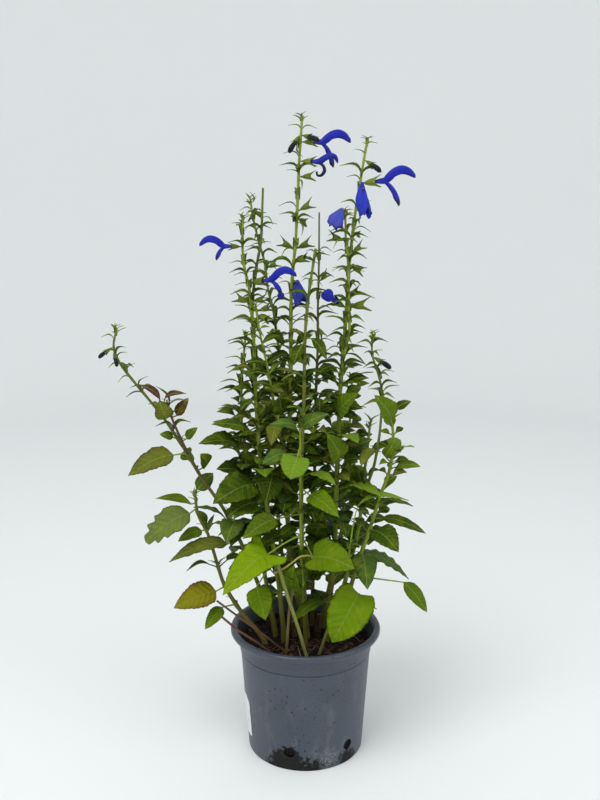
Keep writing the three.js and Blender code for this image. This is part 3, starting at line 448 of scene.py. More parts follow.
def cut_holes(made, cutters):
    """Cuts the cutters out of an object, keeps the result as its mesh, and removes the cutters."""
    for cutter in cutters:
        modifier = made.modifiers.new("hole", "BOOLEAN")
        modifier.operation = "DIFFERENCE"
        modifier.solver = "EXACT"
        modifier.object = cutter
    graph = bpy.context.evaluated_depsgraph_get()
    finished = bpy.data.meshes.new_from_object(made.evaluated_get(graph), preserve_all_data_layers=True,
                                               depsgraph=graph)
    made.modifiers.clear()
    made.data = finished
    for cutter in cutters:
        bpy.data.objects.remove(cutter)


def drain_cutter(turn):
    """A lying cylinder through the wall, at a turn about the pot in degrees."""
    mesh = bpy.data.meshes.new("drain")
    a = math.radians(turn)
    out, along = np.array([math.cos(a), math.sin(a), 0]), np.array([-math.sin(a), math.cos(a), 0])
    points = []
    for r in (FOOT_RADIUS - 8, FOOT_RADIUS + 8):
        for b in np.linspace(0, 2 * math.pi, 28, endpoint=False):
            middle = out * r + [0, 0, DRAIN_HEIGHT]
            points.append((middle + (along * math.cos(b) + [0, 0, math.sin(b)]) * DRAIN_RADIUS) * MM)
    sides = [[k, (k + 1) % 28, 28 + (k + 1) % 28, 28 + k] for k in range(28)]
    mesh.from_pydata(points, [], sides + [list(range(27, -1, -1)), list(range(28, 56))])
    made = bpy.data.objects.new("drain", mesh)
    bpy.context.scene.collection.objects.link(made)
    return made


# %% [markdown]
# ## The pot's plastic
# The plastic is a blue grey polypropylene with a satin skin. Its use shows: black, rough patches at its foot,
# pale lime scuffs, and compost specks thrown on it by watering. Black patches and scuffs sit at certain
# places of the foot, so the mask is the distance from such a place, broken up by noise.

# %% The pot's finish, with black patches, scuffs and specks
def near(tree, point, far, close):
    """1 close to a point and 0 beyond, with a ragged edge; all in metres."""
    apart = node(tree, "ShaderNodeVectorMath", {"operation": "DISTANCE"}, {0: on_object(tree), 1: point}, 1)
    return (apart + (noise(tree, 210, 4) - 0.5) * 0.03).step(far, close)


def specks(tree, scale, radius, least):
    """Round specks in cells, scale to the metre; a cell has one if its own random number passes least."""
    sockets = {"Vector": on_object(tree), "Scale": scale}
    apart = node(tree, "ShaderNodeTexVoronoi", {}, sockets)
    pick = node(tree, "ShaderNodeSeparateColor", {}, {0: node(tree, "ShaderNodeTexVoronoi", {}, sockets, 1)})
    return apart.step(*radius) * pick.step(*least)


def pot_finish():
    material, tree, shader = finish("pot_plastic", 0.45, Specular_IOR_Level=0.5)
    height = part(on_object(tree), 2) * 1000
    cloud = noise(tree, 18, 4)
    colour = mix(cloud.step(0.35, 0.7) * 0.5, paint(59, 66, 78), paint(70, 77, 90))
    dust = noise(tree, 60, 5, (1, 1, 0.4)).step(0.52, 0.72) * height.step(150, 10)
    colour = mix(dust * 0.35, colour, paint(128, 130, 132))
    speck = specks(tree, 160, (0.22, 0.14), (0.45, 0.49))
    fine_speck = specks(tree, 330, (0.26, 0.16), (0.55, 0.6))
    foot = (height + noise(tree, 130, 4) * 14).step(15, 7)
    scuff = (near(tree, (0.024, -0.062, 0.010), 0.020, 0.006)
             + near(tree, (-0.004, -0.066, 0.006), 0.016, 0.004))
    scuff = scuff * noise(tree, 700, 4).step(0.45, 0.6) + foot * noise(tree, 400, 4).step(0.55, 0.7) * 0.6
    # Black patches: at the front and right of the foot, below one drain hole, and in spots along the bottom
    # band.
    black_patches = (near(tree, (-0.020, -0.062, 0.000), 0.030, 0.019)
           + near(tree, (0.008, -0.066, 0.000), 0.019, 0.008)
           + near(tree, (0.046, -0.046, 0.004), 0.017, 0.007)
           + near(tree, (-0.016, -0.064, 0.021), 0.011, 0.006))
    black_patches = node(tree, "ShaderNodeClamp", {}, {0: black_patches + foot * noise(tree, 330, 4).step(0.56, 0.64)})
    colour = mix(scuff * 0.6, colour, paint(150, 152, 150))
    colour = mix(speck * 0.9, colour, paint(9, 9, 10))
    colour = mix(fine_speck * 0.75, colour, paint(16, 16, 18))
    colour = mix(black_patches, colour, mix(noise(tree, 500, 4).step(0.45, 0.7), paint(4, 4, 4), paint(24, 18, 16)))
    feed(shader, "Base Color", colour)
    feed(shader, "Roughness", cloud * 0.12 + dust * 0.15 + black_patches * 0.5 + 0.34)
    draw = noise(tree, 500, 2, (1, 1, 0.02))
    relief = draw * 0.12 + noise(tree, 1200, 2) * 0.12 + black_patches * noise(tree, 800, 3) * 1.5 + speck
    bump(shader, relief, 0.0006, 0.7)
    return material


POT_PLASTIC = pot_finish()
pot_skin = Skin()
pot_skin.tube(spun_rings(pot_profile(), POT_SPOKES), POT_PLASTIC, (1, 1, 1, 1))
pot = pot_skin.piece("pot_body", "pot_plastic", "pot")
cut_holes(pot, [drain_cutter(DRAIN_TURN + 360 / DRAIN_HOLES * k) for k in range(DRAIN_HOLES)])
pot.data.set_sharp_from_angle(angle=math.radians(40))
print("pot faces:", len(pot.data.polygons))

# %% [markdown]
# ## The compost
# Peat compost is a dark, crumbly mound. A fine radial grid is lifted by noise, and crumbs, bark chips and
# pale rootlets are laid on it. They are all real little solids, because the camera looks down into the pot
# and flat colour alone would look like felt.

# %% A lumpy mound with crumbs, chips and rootlets
SOIL_HEIGHT = 127.0
SOIL_RADIUS = 72.3
SOIL_SPOKES = 176
CHIPS = 7
BITS = 64
CRUMBS = 520
ROOTLETS = 26


def mound(x, y):
    """The height of the low mound, the same as the solid's."""
    lumps = 1.3 * math.sin(x * 0.31 + 1.2) * math.sin(y * 0.27) + 1.1 * math.sin(x * 0.13 - y * 0.21)
    return SOIL_HEIGHT + 2.4 * (1 - (math.hypot(x, y) / 72) ** 2) + lumps


def crumbled(x, y):
    """The mound with crumbs, which fade out where the wall holds the compost."""
    octaves = ((0, 0.16, 1.6), (9, 0.42, 1.3), (5, 1.0, 0.8))
    rough = sum(cloud_noise.noise(Vector((x, y, layer)) * scale) * lift for layer, scale, lift in octaves)
    rim = limited((SOIL_RADIUS - math.hypot(x, y)) / 6)
    return min(mound(x, y) + rough, 140) * rim + (SOIL_HEIGHT - 0.6) * (1 - rim)


def earth_finish():
    material, tree, shader = finish("compost", 0.95, Specular_IOR_Level=0.25)
    tint = stored(tree, "tint", 0)
    grain = noise(tree, 420, 6).step(0.35, 0.7)
    fleck = noise(tree, 900, 3).step(0.62, 0.7)
    colour = mix(grain * 0.6, tint, mix(grain, tint, paint(70, 50, 36)))
    colour = mix(fleck * 0.35, colour, paint(104, 78, 58))
    feed(shader, "Base Color", colour)
    feed(shader, "Roughness", grain * 0.1 + 0.86)
    bump(shader, grain + noise(tree, 1600, 4) * 0.6, 0.0012, 0.9)
    return material


def laid(radius, angle, lift, height=crumbled):
    """A place on the compost, given about the pot's axis."""
    x, y = radius * math.cos(angle), radius * math.sin(angle)
    return x, y, height(x, y) + lift


def lump(skin, centre, size, tint, seed, turn, lean):
    """A rough little block: five rings of eight corners, turned and leaned."""
    rows = []
    for i, (share, girth) in enumerate(((-1, 0.35), (-0.8, 0.85), (0, 1), (0.8, 0.85), (1, 0.35))):
        row = []
        for k in range(8):
            a = -2 * math.pi * k / 8
            r = girth * (0.86 + 0.28 * chance(seed + k, i))
            corner = np.array([share * size[0], math.cos(a) * r * size[1], math.sin(a) * r * size[2]]) / 2
            corner = spun(spun(corner, np.array([0.0, 1.0, 0.0]), lean), UPRIGHT, turn)
            row.append(corner + centre)
        rows.append(row)
    skin.tube(rows, EARTH, tint)


EARTH = earth_finish()
soil_skin = Skin()
soil_profile = [(0, 2.4), (60, 2.4), (FOOT_RADIUS - WALL - 0.6, 2.4), (SOIL_RADIUS, SOIL_HEIGHT - 0.6)]
soil_rows = spun_rings(soil_profile, SOIL_SPOKES)
for radius in list(np.linspace(71.4, 1.5, 52)) + [0.05]:
    soil_rows.append([laid(radius, a, 0) for a in np.linspace(0, 2 * math.pi, SOIL_SPOKES, endpoint=False)])
soil_skin.tube(soil_rows, EARTH, paint(12, 10, 9))
draw = random.Random(11)
for k in range(CHIPS):
    place = laid(30 + 34 * chance(k, 3), k * 2.4, 0.9, mound)
    lump(soil_skin, place, (7 + 7 * chance(k, 5), 4 + 3 * chance(k, 7), 5), paint(66, 42, 32), k,
         math.degrees(6.3 * chance(k, 13)), 10)
for k in range(BITS):
    a, r = -0.9 + draw.gauss(0, 1.2), draw.uniform(14, 66)
    tone = draw.choice([paint(74, 46, 34), paint(96, 66, 48), paint(52, 34, 27), paint(40, 29, 25)])
    lump(soil_skin, laid(r, a, 0.8), (draw.uniform(4, 12), draw.uniform(3, 6), draw.uniform(1.5, 3)), tone, k,
         draw.uniform(0, 360), draw.uniform(-25, 25))
for k in range(CRUMBS):
    a, r = draw.uniform(0, 2 * math.pi), 70 * math.sqrt(draw.random())
    size = draw.uniform(1, 4)
    tone = draw.choice([paint(16, 13, 12), paint(24, 19, 17), paint(36, 27, 23), paint(56, 42, 34)])
    lump(soil_skin, laid(r, a, size * 0.15), (size, size * 0.8, size * 0.7), tone, k, draw.uniform(0, 360), 0)


def rootlet(skin, start, heading, length, radius, tint):
    """A thin bent root that lies on the compost."""
    rows, place = [], np.array(start, float)
    around = np.linspace(0, -2 * math.pi, 5, endpoint=False)
    for i in range(10):
        heading += draw.uniform(-24, 24)
        ahead = np.array([math.cos(math.radians(heading)), math.sin(math.radians(heading)), 0])
        side = np.array([-ahead[1], ahead[0], 0])
        place = place + ahead * length / 10
        inside = max(0.0, math.hypot(place[0], place[1]) - 68)
        place[:2] *= 1 - inside / 90
        place[2] = crumbled(place[0], place[1]) + radius + 0.9 * math.sin(i * 0.9 + length)
        rows.append(ring_about(place, side, UPRIGHT, around, radius, radius))
    skin.tube(rows, EARTH, tint)


for k in range(ROOTLETS):
    a, r = draw.uniform(-2.6, 0.2), draw.uniform(10, 60)
    heading, length, radius = draw.uniform(0, 360), draw.uniform(14, 44), draw.uniform(0.25, 0.6)
    tone = draw.choice([paint(122, 96, 70), paint(90, 64, 50), paint(150, 130, 100)])
    rootlet(soil_skin, (r * math.cos(a), r * math.sin(a), 0), heading, length, radius, tone)
soil = soil_skin.piece("compost", "compost", "soil")
print("compost faces:", len(soil.data.polygons))

# %% [markdown]
# ## The sticker and the old stubs
# The sticker is blank paper that follows the wall; its corner has been torn off. The stubs are last year's
# stems, cut short: grey brown bark round a paler, cracked end.

# %% A blank sticker with a torn corner
def paper_finish():
    material, tree, shader = finish("sticker_paper", 0.5, Specular_IOR_Level=0.4)
    stain = noise(tree, 120, 5).step(0.5, 0.75)
    crease = noise(tree, 300, 3, (1, 1, 0.2)).step(0.48, 0.52) * noise(tree, 40).step(0.5, 0.6)
    colour = mix(stain * 0.5, paint(226, 228, 228), paint(168, 164, 156))
    feed(shader, "Base Color", mix(crease * 0.25, colour, paint(140, 138, 134)))
    feed(shader, "Roughness", stain * 0.25 + 0.4)
    bump(shader, noise(tree, 260, 3), 0.0004, 0.5)
    return material


PAPER = paper_finish()
STICKER_STEPS = 40
STICKER_LOW, STICKER_MIDDLE, STICKER_TOP = 20, 44, 68
sticker_skin = Skin()
sticker_rows = []
for k in range(STICKER_STEPS + 1):
    share = k / STICKER_STEPS
    a = math.radians(-90 - 64 - 38 * share)
    corner = 1.6 * max(0.0, 1 - min(share, 1 - share) * 25) ** 2
    top = STICKER_TOP - corner - max(0.0, 1 - share * 6) * 6.5 + 0.5 * math.sin(share * 40) * (share < 0.17)
    ring = []
    low = STICKER_LOW + corner
    for z, off in ((low, 0.2), (low, 0.6), (STICKER_MIDDLE, 0.65),
                   (top, 0.6), (top, 0.2), (STICKER_MIDDLE, 0.2)):
        r = wall_at(z) + off
        ring.append((r * math.cos(a), r * math.sin(a), z))
    sticker_rows.append(ring)
sticker_skin.tube(sticker_rows, PAPER, (1, 1, 1, 1))
sticker = sticker_skin.piece("blank_sticker", "sticker_paper", "pot_sticker")
sticker.data.set_sharp_from_angle(angle=math.radians(40))


# %% Two old stubs
def bark_finish():
    material, tree, shader = finish("old_bark", 0.85, Specular_IOR_Level=0.3)
    tint = stored(tree, "tint", 0)
    ridge = noise(tree, 420, 4, (1, 1, 0.15)).step(0.4, 0.65)
    colour = mix(ridge * 0.7, tint, paint(62, 44, 32))
    feed(shader, "Base Color", colour)
    feed(shader, "Roughness", ridge * 0.1 + 0.78)
    bump(shader, ridge, 0.0012, 1.0)
    return material


BARK = bark_finish()


def stub(name, node_name, x, y, top, lean, tint):
    """A rounded square stick from below the compost to a ragged cut end."""
    skin = Skin()
    rows, tints = [], []
    levels = [106, 120, 126, 130, 134] + list(np.linspace(138, top, 9)) + [top + 0.01, top - 0.6]
    for i, z in enumerate(levels):
        share = limited((z - 132) / (top - 132))
        half = (4 - 0.6 * share) * 0.82 * (1 + 0.25 * max(0.0, 1 - abs(z - 132) / 6))
        half *= 1 if i < 14 else (0.8 if i == 14 else 0.3)
        ring = []
        for k in range(16):
            a = math.pi - 2 * math.pi * k / 16
            r = half * (abs(math.cos(a)) ** 4 + abs(math.sin(a)) ** 4) ** -0.25 * (0.95 + 0.1 * chance(k, i))
            ring.append((x + lean * share + r * math.cos(a), y - lean * 0.4 * share + r * math.sin(a),
                         z + (0.8 * chance(k, 4) if i > 11 else 0)))
        rows.append(ring)
        tints.append([paint(150, 124, 92) if i >= 14 else tint] * 16)
    skin.tube(rows, BARK, tints)
    return skin.piece(name, "dead_wood", node_name)


stub("stub_left", "old_stub_left", -12, -2, 160, -3, paint(92, 66, 44))
stub("stub_right", "old_stub_right", 14, 8, 152, 2, paint(82, 58, 38))
print("sticker and stubs ready")

# %% [markdown]
# ## The plan of the plant
# A plant looks random but it isn't: each stem has its own course, and leaves sit on it in pairs, each pair a
# quarter turn from the last. So the whole plant is a few tables, in millimetres, the same ones that the
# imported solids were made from: stems, sprigs, blooms, large leaves and leafy stretches. Growing it from
# tables keeps every leaf on its stem when a stem is moved.

# %% Stems: name, parent stem, foot radius, tip radius and points from the foot up
STEMS = [
  ["tall_centre", None, 3.3, 1.2, [[-2, 19, 106], [-2, 19, 134], [-18, 12, 216], [-21, 8, 286],
    [-18, 6, 368], [-17, 6, 403], [-16, 6, 458], [-16, 6, 506], [-14, 5, 544], [-11, 5, 569],
    [-9, 4, 608], [-7, 3, 657], [-5, 2, 685], [-4, 2, 700]]],
  ["tall_right", None, 3.4, 1.2, [[20, 24, 106], [20, 24, 134], [34, 16, 214], [34, 10, 288],
    [36, 6, 358], [38, 4, 426], [42, 3, 480], [44, 2, 513], [46, 0, 555], [51, -2, 601], [56, -4, 635],
    [61, -4, 667], [63, -4, 676]]],
  ["left", None, 3.2, 1.1, [[-24, -14, 106], [-24, -14, 134], [-30, -12, 200], [-40, -10, 270],
    [-50, -8, 340], [-54, -6, 406], [-55, -6, 465], [-57, -6, 492], [-59, -8, 524], [-65, -12, 550],
    [-66, -14, 569], [-65, -14, 598]]],
  ["left_outer", None, 2.8, 1.1, [[-34, 0, 106], [-34, 0, 134], [-46, 4, 200], [-56, 6, 280],
    [-66, 8, 340], [-71, 8, 380], [-70, 10, 429], [-65, 10, 474]]],
  ["cut_centre", None, 3.0, 1.4, [[2, -6, 106], [2, -6, 134], [-4, -12, 220], [-5, -14, 330],
    [-2, -14, 408], [-1, -14, 478], [3, -14, 522], [10, -14, 567]]],
  ["thin_cut", None, 2.6, 0.9, [[8, 36, 106], [8, 36, 134], [9, 26, 210], [10, 12, 310], [11, 8, 403],
    [13, 8, 460], [13, 8, 506], [14, 8, 550], [14, 8, 604]]],
  ["right_outer", None, 3.0, 1.3, [[38, 4, 106], [38, 4, 134], [59, -1, 219], [72, -5, 261],
    [83, -9, 303], [90, -11, 322], [93, -12, 335], [95, -13, 361], [93, -14, 383]]],
  ["right_inner", None, 3.2, 1.3, [[34, 26, 106], [34, 26, 134], [57, 16, 235], [62, 12, 264],
    [62, 11, 282], [64, 10, 303], [66, 10, 324], [69, 10, 349], [71, 10, 375]]],
  ["lateral", None, 2.7, 1.0, [[-36, 16, 106], [-36, 16, 134], [-68, -4, 234], [-89, -11, 283],
    [-114, -17, 323], [-127, -20, 349], [-138, -21, 367], [-149, -22, 386], [-162, -23, 404],
    [-176, -24, 422], [-185, -25, 434], [-195, -25, 447], [-201, -26, 461], [-202, -26, 469],
    [-197, -26, 484]]],
  ["left_short", None, 2.8, 1.3, [[-44, -20, 106], [-44, -20, 133], [-57, -12, 144], [-77, -10, 169],
    [-92, -12, 197], [-101, -13, 232], [-108, -14, 259], [-119, -14, 277], [-121, -14, 304]]],
  ["young", None, 2.2, 1.0, [[0, -26, 106], [0, -26, 134], [-4, -30, 200], [-6, -34, 300],
    [-6, -38, 386]]],
  ["low_right", None, 2.6, 1.2, [[24, -14, 106], [24, -14, 134], [36, -22, 180], [46, -28, 216],
    [48, -32, 250]]],
  ["back_left", None, 2.8, 1.1, [[-14, 46, 106], [-14, 46, 134], [-30, 58, 220], [-36, 62, 320],
    [-38, 62, 440]]],
  ["back_right", None, 2.8, 1.1, [[26, 48, 106], [26, 48, 134], [42, 60, 220], [50, 64, 320],
    [54, 62, 420]]],
  ["left_crossing", "tall_centre", 1.7, 1.0, [[-17, 6, 398], [-22, 8, 414], [-29, 12, 457],
    [-35, 16, 501], [-41, 18, 522], [-44, 20, 552], [-51, 21, 575], [-57, 22, 601], [-59, 22, 618]]],
  ["left_inner", "tall_centre", 1.7, 1.0, [[-20, 7, 326], [-28, -2, 366], [-35, -8, 406], [-42, -18, 451],
    [-49, -24, 484], [-52, -26, 510]]],
  ["right_centre", "tall_right", 1.6, 1.1, [[38, 4, 436], [47, -4, 481], [45, -10, 514], [44, -16, 553],
    [41, -18, 576], [40, -20, 604]]],
  ["left_cut", "left", 1.7, 1.2, [[-57, -6, 494], [-56, -2, 520], [-53, 2, 544], [-47, 6, 575],
    [-45, 8, 629]]],
  ["right_small", "right_inner", 1.9, 0.9, [[62, 11, 284], [68, 7, 304], [76, 2, 330], [81, -2, 367],
    [82, -4, 388], [83, -6, 408], [80, -8, 428], [71, -11, 452], [69, -12, 466], [72, -12, 476]]],
  ["side", "lateral", 1.6, 1.0, [[-127, -20, 349], [-134, -27, 370], [-141, -32, 389], [-145, -34, 408]]],
]

# %% Sprigs of each stem: height, kind, angle in the front view, lean to the front, length or scale
SPRIGS = {
  "tall_centre": [[694, "bract", 112, 10, 10], [694, "bract", 64, -20, 9], [684, "bract", 151, 5, 14],
    [684, "bract", 16, -10, 16], [683, "bud", 234, 10, 0.74], [682, "bud", 342, 36, 0.78],
    [675, "calyx", 1, -8, 1], [673, "bract", 281, 20, 13], [657, "bract", 159, 5, 17],
    [656, "calyx", 257, 30, 0.62], [656, "calyx", -3, 16, 1], [638, "bract", 143, 10, 14],
    [640, "calyx", 4, -10, 1], [637, "bract", 289, 30, 11], [606, "bract", 167, -10, 19],
    [606, "calyx", 244, 40, 0.75], [605, "calyx", 28, 5, 1.1], [598, "calyx", -24, -44, 0.9],
    [594, "bract", 291, 15, 14], [566, "calyx", 153, 5, 1.1], [566, "calyx", 24, 5, 1.15],
    [564, "bract", 205, 25, 17], [552, "calyx", 20, 20, 1], [535, "calyx", 304, 56, 0.76],
    [524, "bract", 160, 20, 17], [504, "bract", 140, 10, 13], [503, "bract", 5, -30, 15]],
  "tall_right": [[672, "bract", 118, 0, 9], [672, "bract", 60, 10, 9], [667, "bract", 28, -10, 13],
    [657, "bract", 133, 0, 13], [657, "bud", -34, 25, 0.74], [634, "bract", 158, 0, 14],
    [633, "calyx", 7, 0, 1.2], [630, "calyx", 300, 60, 0.8], [583, "bract", 2, 0, 18],
    [583, "calyx", -12, -50, 0.7], [562, "calyx", 33, 0, 1], [548, "calyx", -20, -10, 1],
    [533, "bract", 30, 0, 19], [518, "calyx", 24, -5, 0.9], [505, "calyx", 8, 4, 1.45],
    [504, "calyx", 148, 30, 1.1], [503, "lance", 184, 50, 30], [484, "lance", 152, 30, 28],
    [484, "bract", 20, -20, 20], [470, "calyx", 40, -20, 1], [455, "bract", 178, 30, 24],
    [453, "lance", -20, 20, 26]],
  "right_centre": [[600, "bract", 112, 0, 8], [600, "bract", 55, 0, 8], [596, "bract", 28, 10, 12],
    [597, "calyx", 182, 44, 0.6], [575, "calyx", 164, 10, 1.1], [574, "bract", 206, 30, 16],
    [559, "bract", 166, 0, 15], [540, "bract", 165, 20, 18]],
  "left": [[594, "bract", 120, 0, 9], [594, "bract", 62, 0, 9], [586, "bract", 148, 5, 12],
    [586, "bract", 45, 5, 11], [582, "calyx", 268, 30, 0.6], [569, "calyx", 178, 0, 0.82],
    [546, "bract", 160, 0, 16], [546, "bract", 24, 5, 14], [536, "bract", 166, 10, 13],
    [524, "bract", 162, 5, 15], [531, "calyx", 10, 14, 1.25], [510, "calyx", 158, 10, 1.1],
    [512, "calyx", 8, -14, 1], [499, "lance", 152, 10, 19], [487, "lance", 158, 10, 16],
    [455, "bract", 165, -10, 18]],
  "left_cut": [[560, "bract", 150, -10, 16], [598, "bract", 330, 10, 12]],
  "left_crossing": [[614, "bract", 92, 0, 10], [612, "bract", 50, 0, 8], [605, "bract", 176, 0, 12],
    [605, "calyx", 262, 10, 0.6], [606, "calyx", -24, -16, 0.85], [588, "bract", 196, 0, 11],
    [566, "bract", 162, -20, 11], [566, "bract", 32, 0, 12], [545, "calyx", 24, 0, 0.95],
    [544, "bract", -8, -20, 13], [507, "bract", 30, 0, 14], [504, "bract", 150, 0, 16],
    [488, "bract", 3, 10, 15], [487, "lance", 176, 20, 24], [460, "lance", 20, 10, 22]],
  "left_inner": [[503, "calyx", 20, 10, 1], [500, "calyx", -20, 30, 0.9], [462, "lance", 14, 20, 22],
    [458, "lance", 160, 30, 22], [428, "lance", 150, 30, 24]],
  "cut_centre": [[561, "bract", 160, 10, 9], [560, "bract", 20, 20, 10], [533, "bract", 176, 20, 9],
    [531, "bract", -10, 30, 14], [502, "lance", 150, 40, 14]],
  "thin_cut": [[563, "bract", 2, -10, 13], [531, "calyx", 44, -10, 0.9], [514, "bract", 10, -30, 14],
    [500, "bract", 0, -20, 16], [484, "calyx", 300, 10, 0.8], [462, "bract", 14, -20, 18],
    [438, "lance", 20, -20, 22]],
  "right_small": [[474, "bract", 60, 0, 9], [474, "bract", 110, 0, 8], [466, "bract", 35, 10, 12],
    [454, "bud", -30, 10, 0.76], [452, "bract", 38, 0, 13], [430, "bract", 24, 0, 16],
    [412, "lance", 30, 10, 20], [410, "lance", 150, 20, 18]],
  "lateral": [[481, "bract", 120, 10, 8], [481, "bract", 60, 0, 9], [474, "bract", 170, 10, 12],
    [466, "bud", 214, 20, 0.6], [462, "bud", 290, 34, 0.6], [452, "bract", 40, 0, 12],
    [446, "bract", 190, 10, 12], [436, "bract", 60, 10, 14], [432, "bract", 196, 0, 14],
    [420, "bract", 62, 10, 16], [416, "lance", 190, 10, 18]],
  "side": [[404, "lance", 120, 0, 24], [404, "lance", 18, 10, 22]],
  "young": [[382, "bract", 100, 0, 12], [382, "bract", 70, 20, 10]],
  "left_outer": [[470, "bract", 110, 0, 10], [470, "bract", 60, 0, 10], [462, "bract", 165, 0, 18],
    [440, "bract", 155, 0, 20], [438, "lance", 20, -20, 20], [418, "lance", 165, 20, 24],
    [416, "lance", 20, -30, 20]],
  "right_outer": [[380, "bract", 100, 0, 10], [380, "bract", 60, 0, 10]],
  "right_inner": [[372, "lance", 110, 0, 16], [372, "lance", 50, 0, 18]],
}
SPRIGS = [[stem, *row] for stem, rows in SPRIGS.items() for row in rows]

# %% Blooms: name, stem and height of the calyx that holds it, scale, and its state
BLOOMS = [
  ["bloom_top", "tall_centre", 675, 1.06, "open"],
  ["bloom_fading", "tall_centre", 656, 0.9, "curled"],
  ["bloom_right", "tall_right", 633, 1.12, "open"],
  ["bloom_right_hanging", "tall_right", 630, 0.8, "wilted"],
  ["bloom_right_centre", "right_centre", 597, 0.54, "wilted"],
  ["bloom_left", "left", 569, 0.9, "open"],
  ["bloom_middle", "left", 531, 0.98, "open"],
  ["bloom_middle_hanging", "tall_centre", 535, 0.7, "wilted"],
  ["bloom_rolled", "tall_right", 504, 0.55, "rolled"],
]

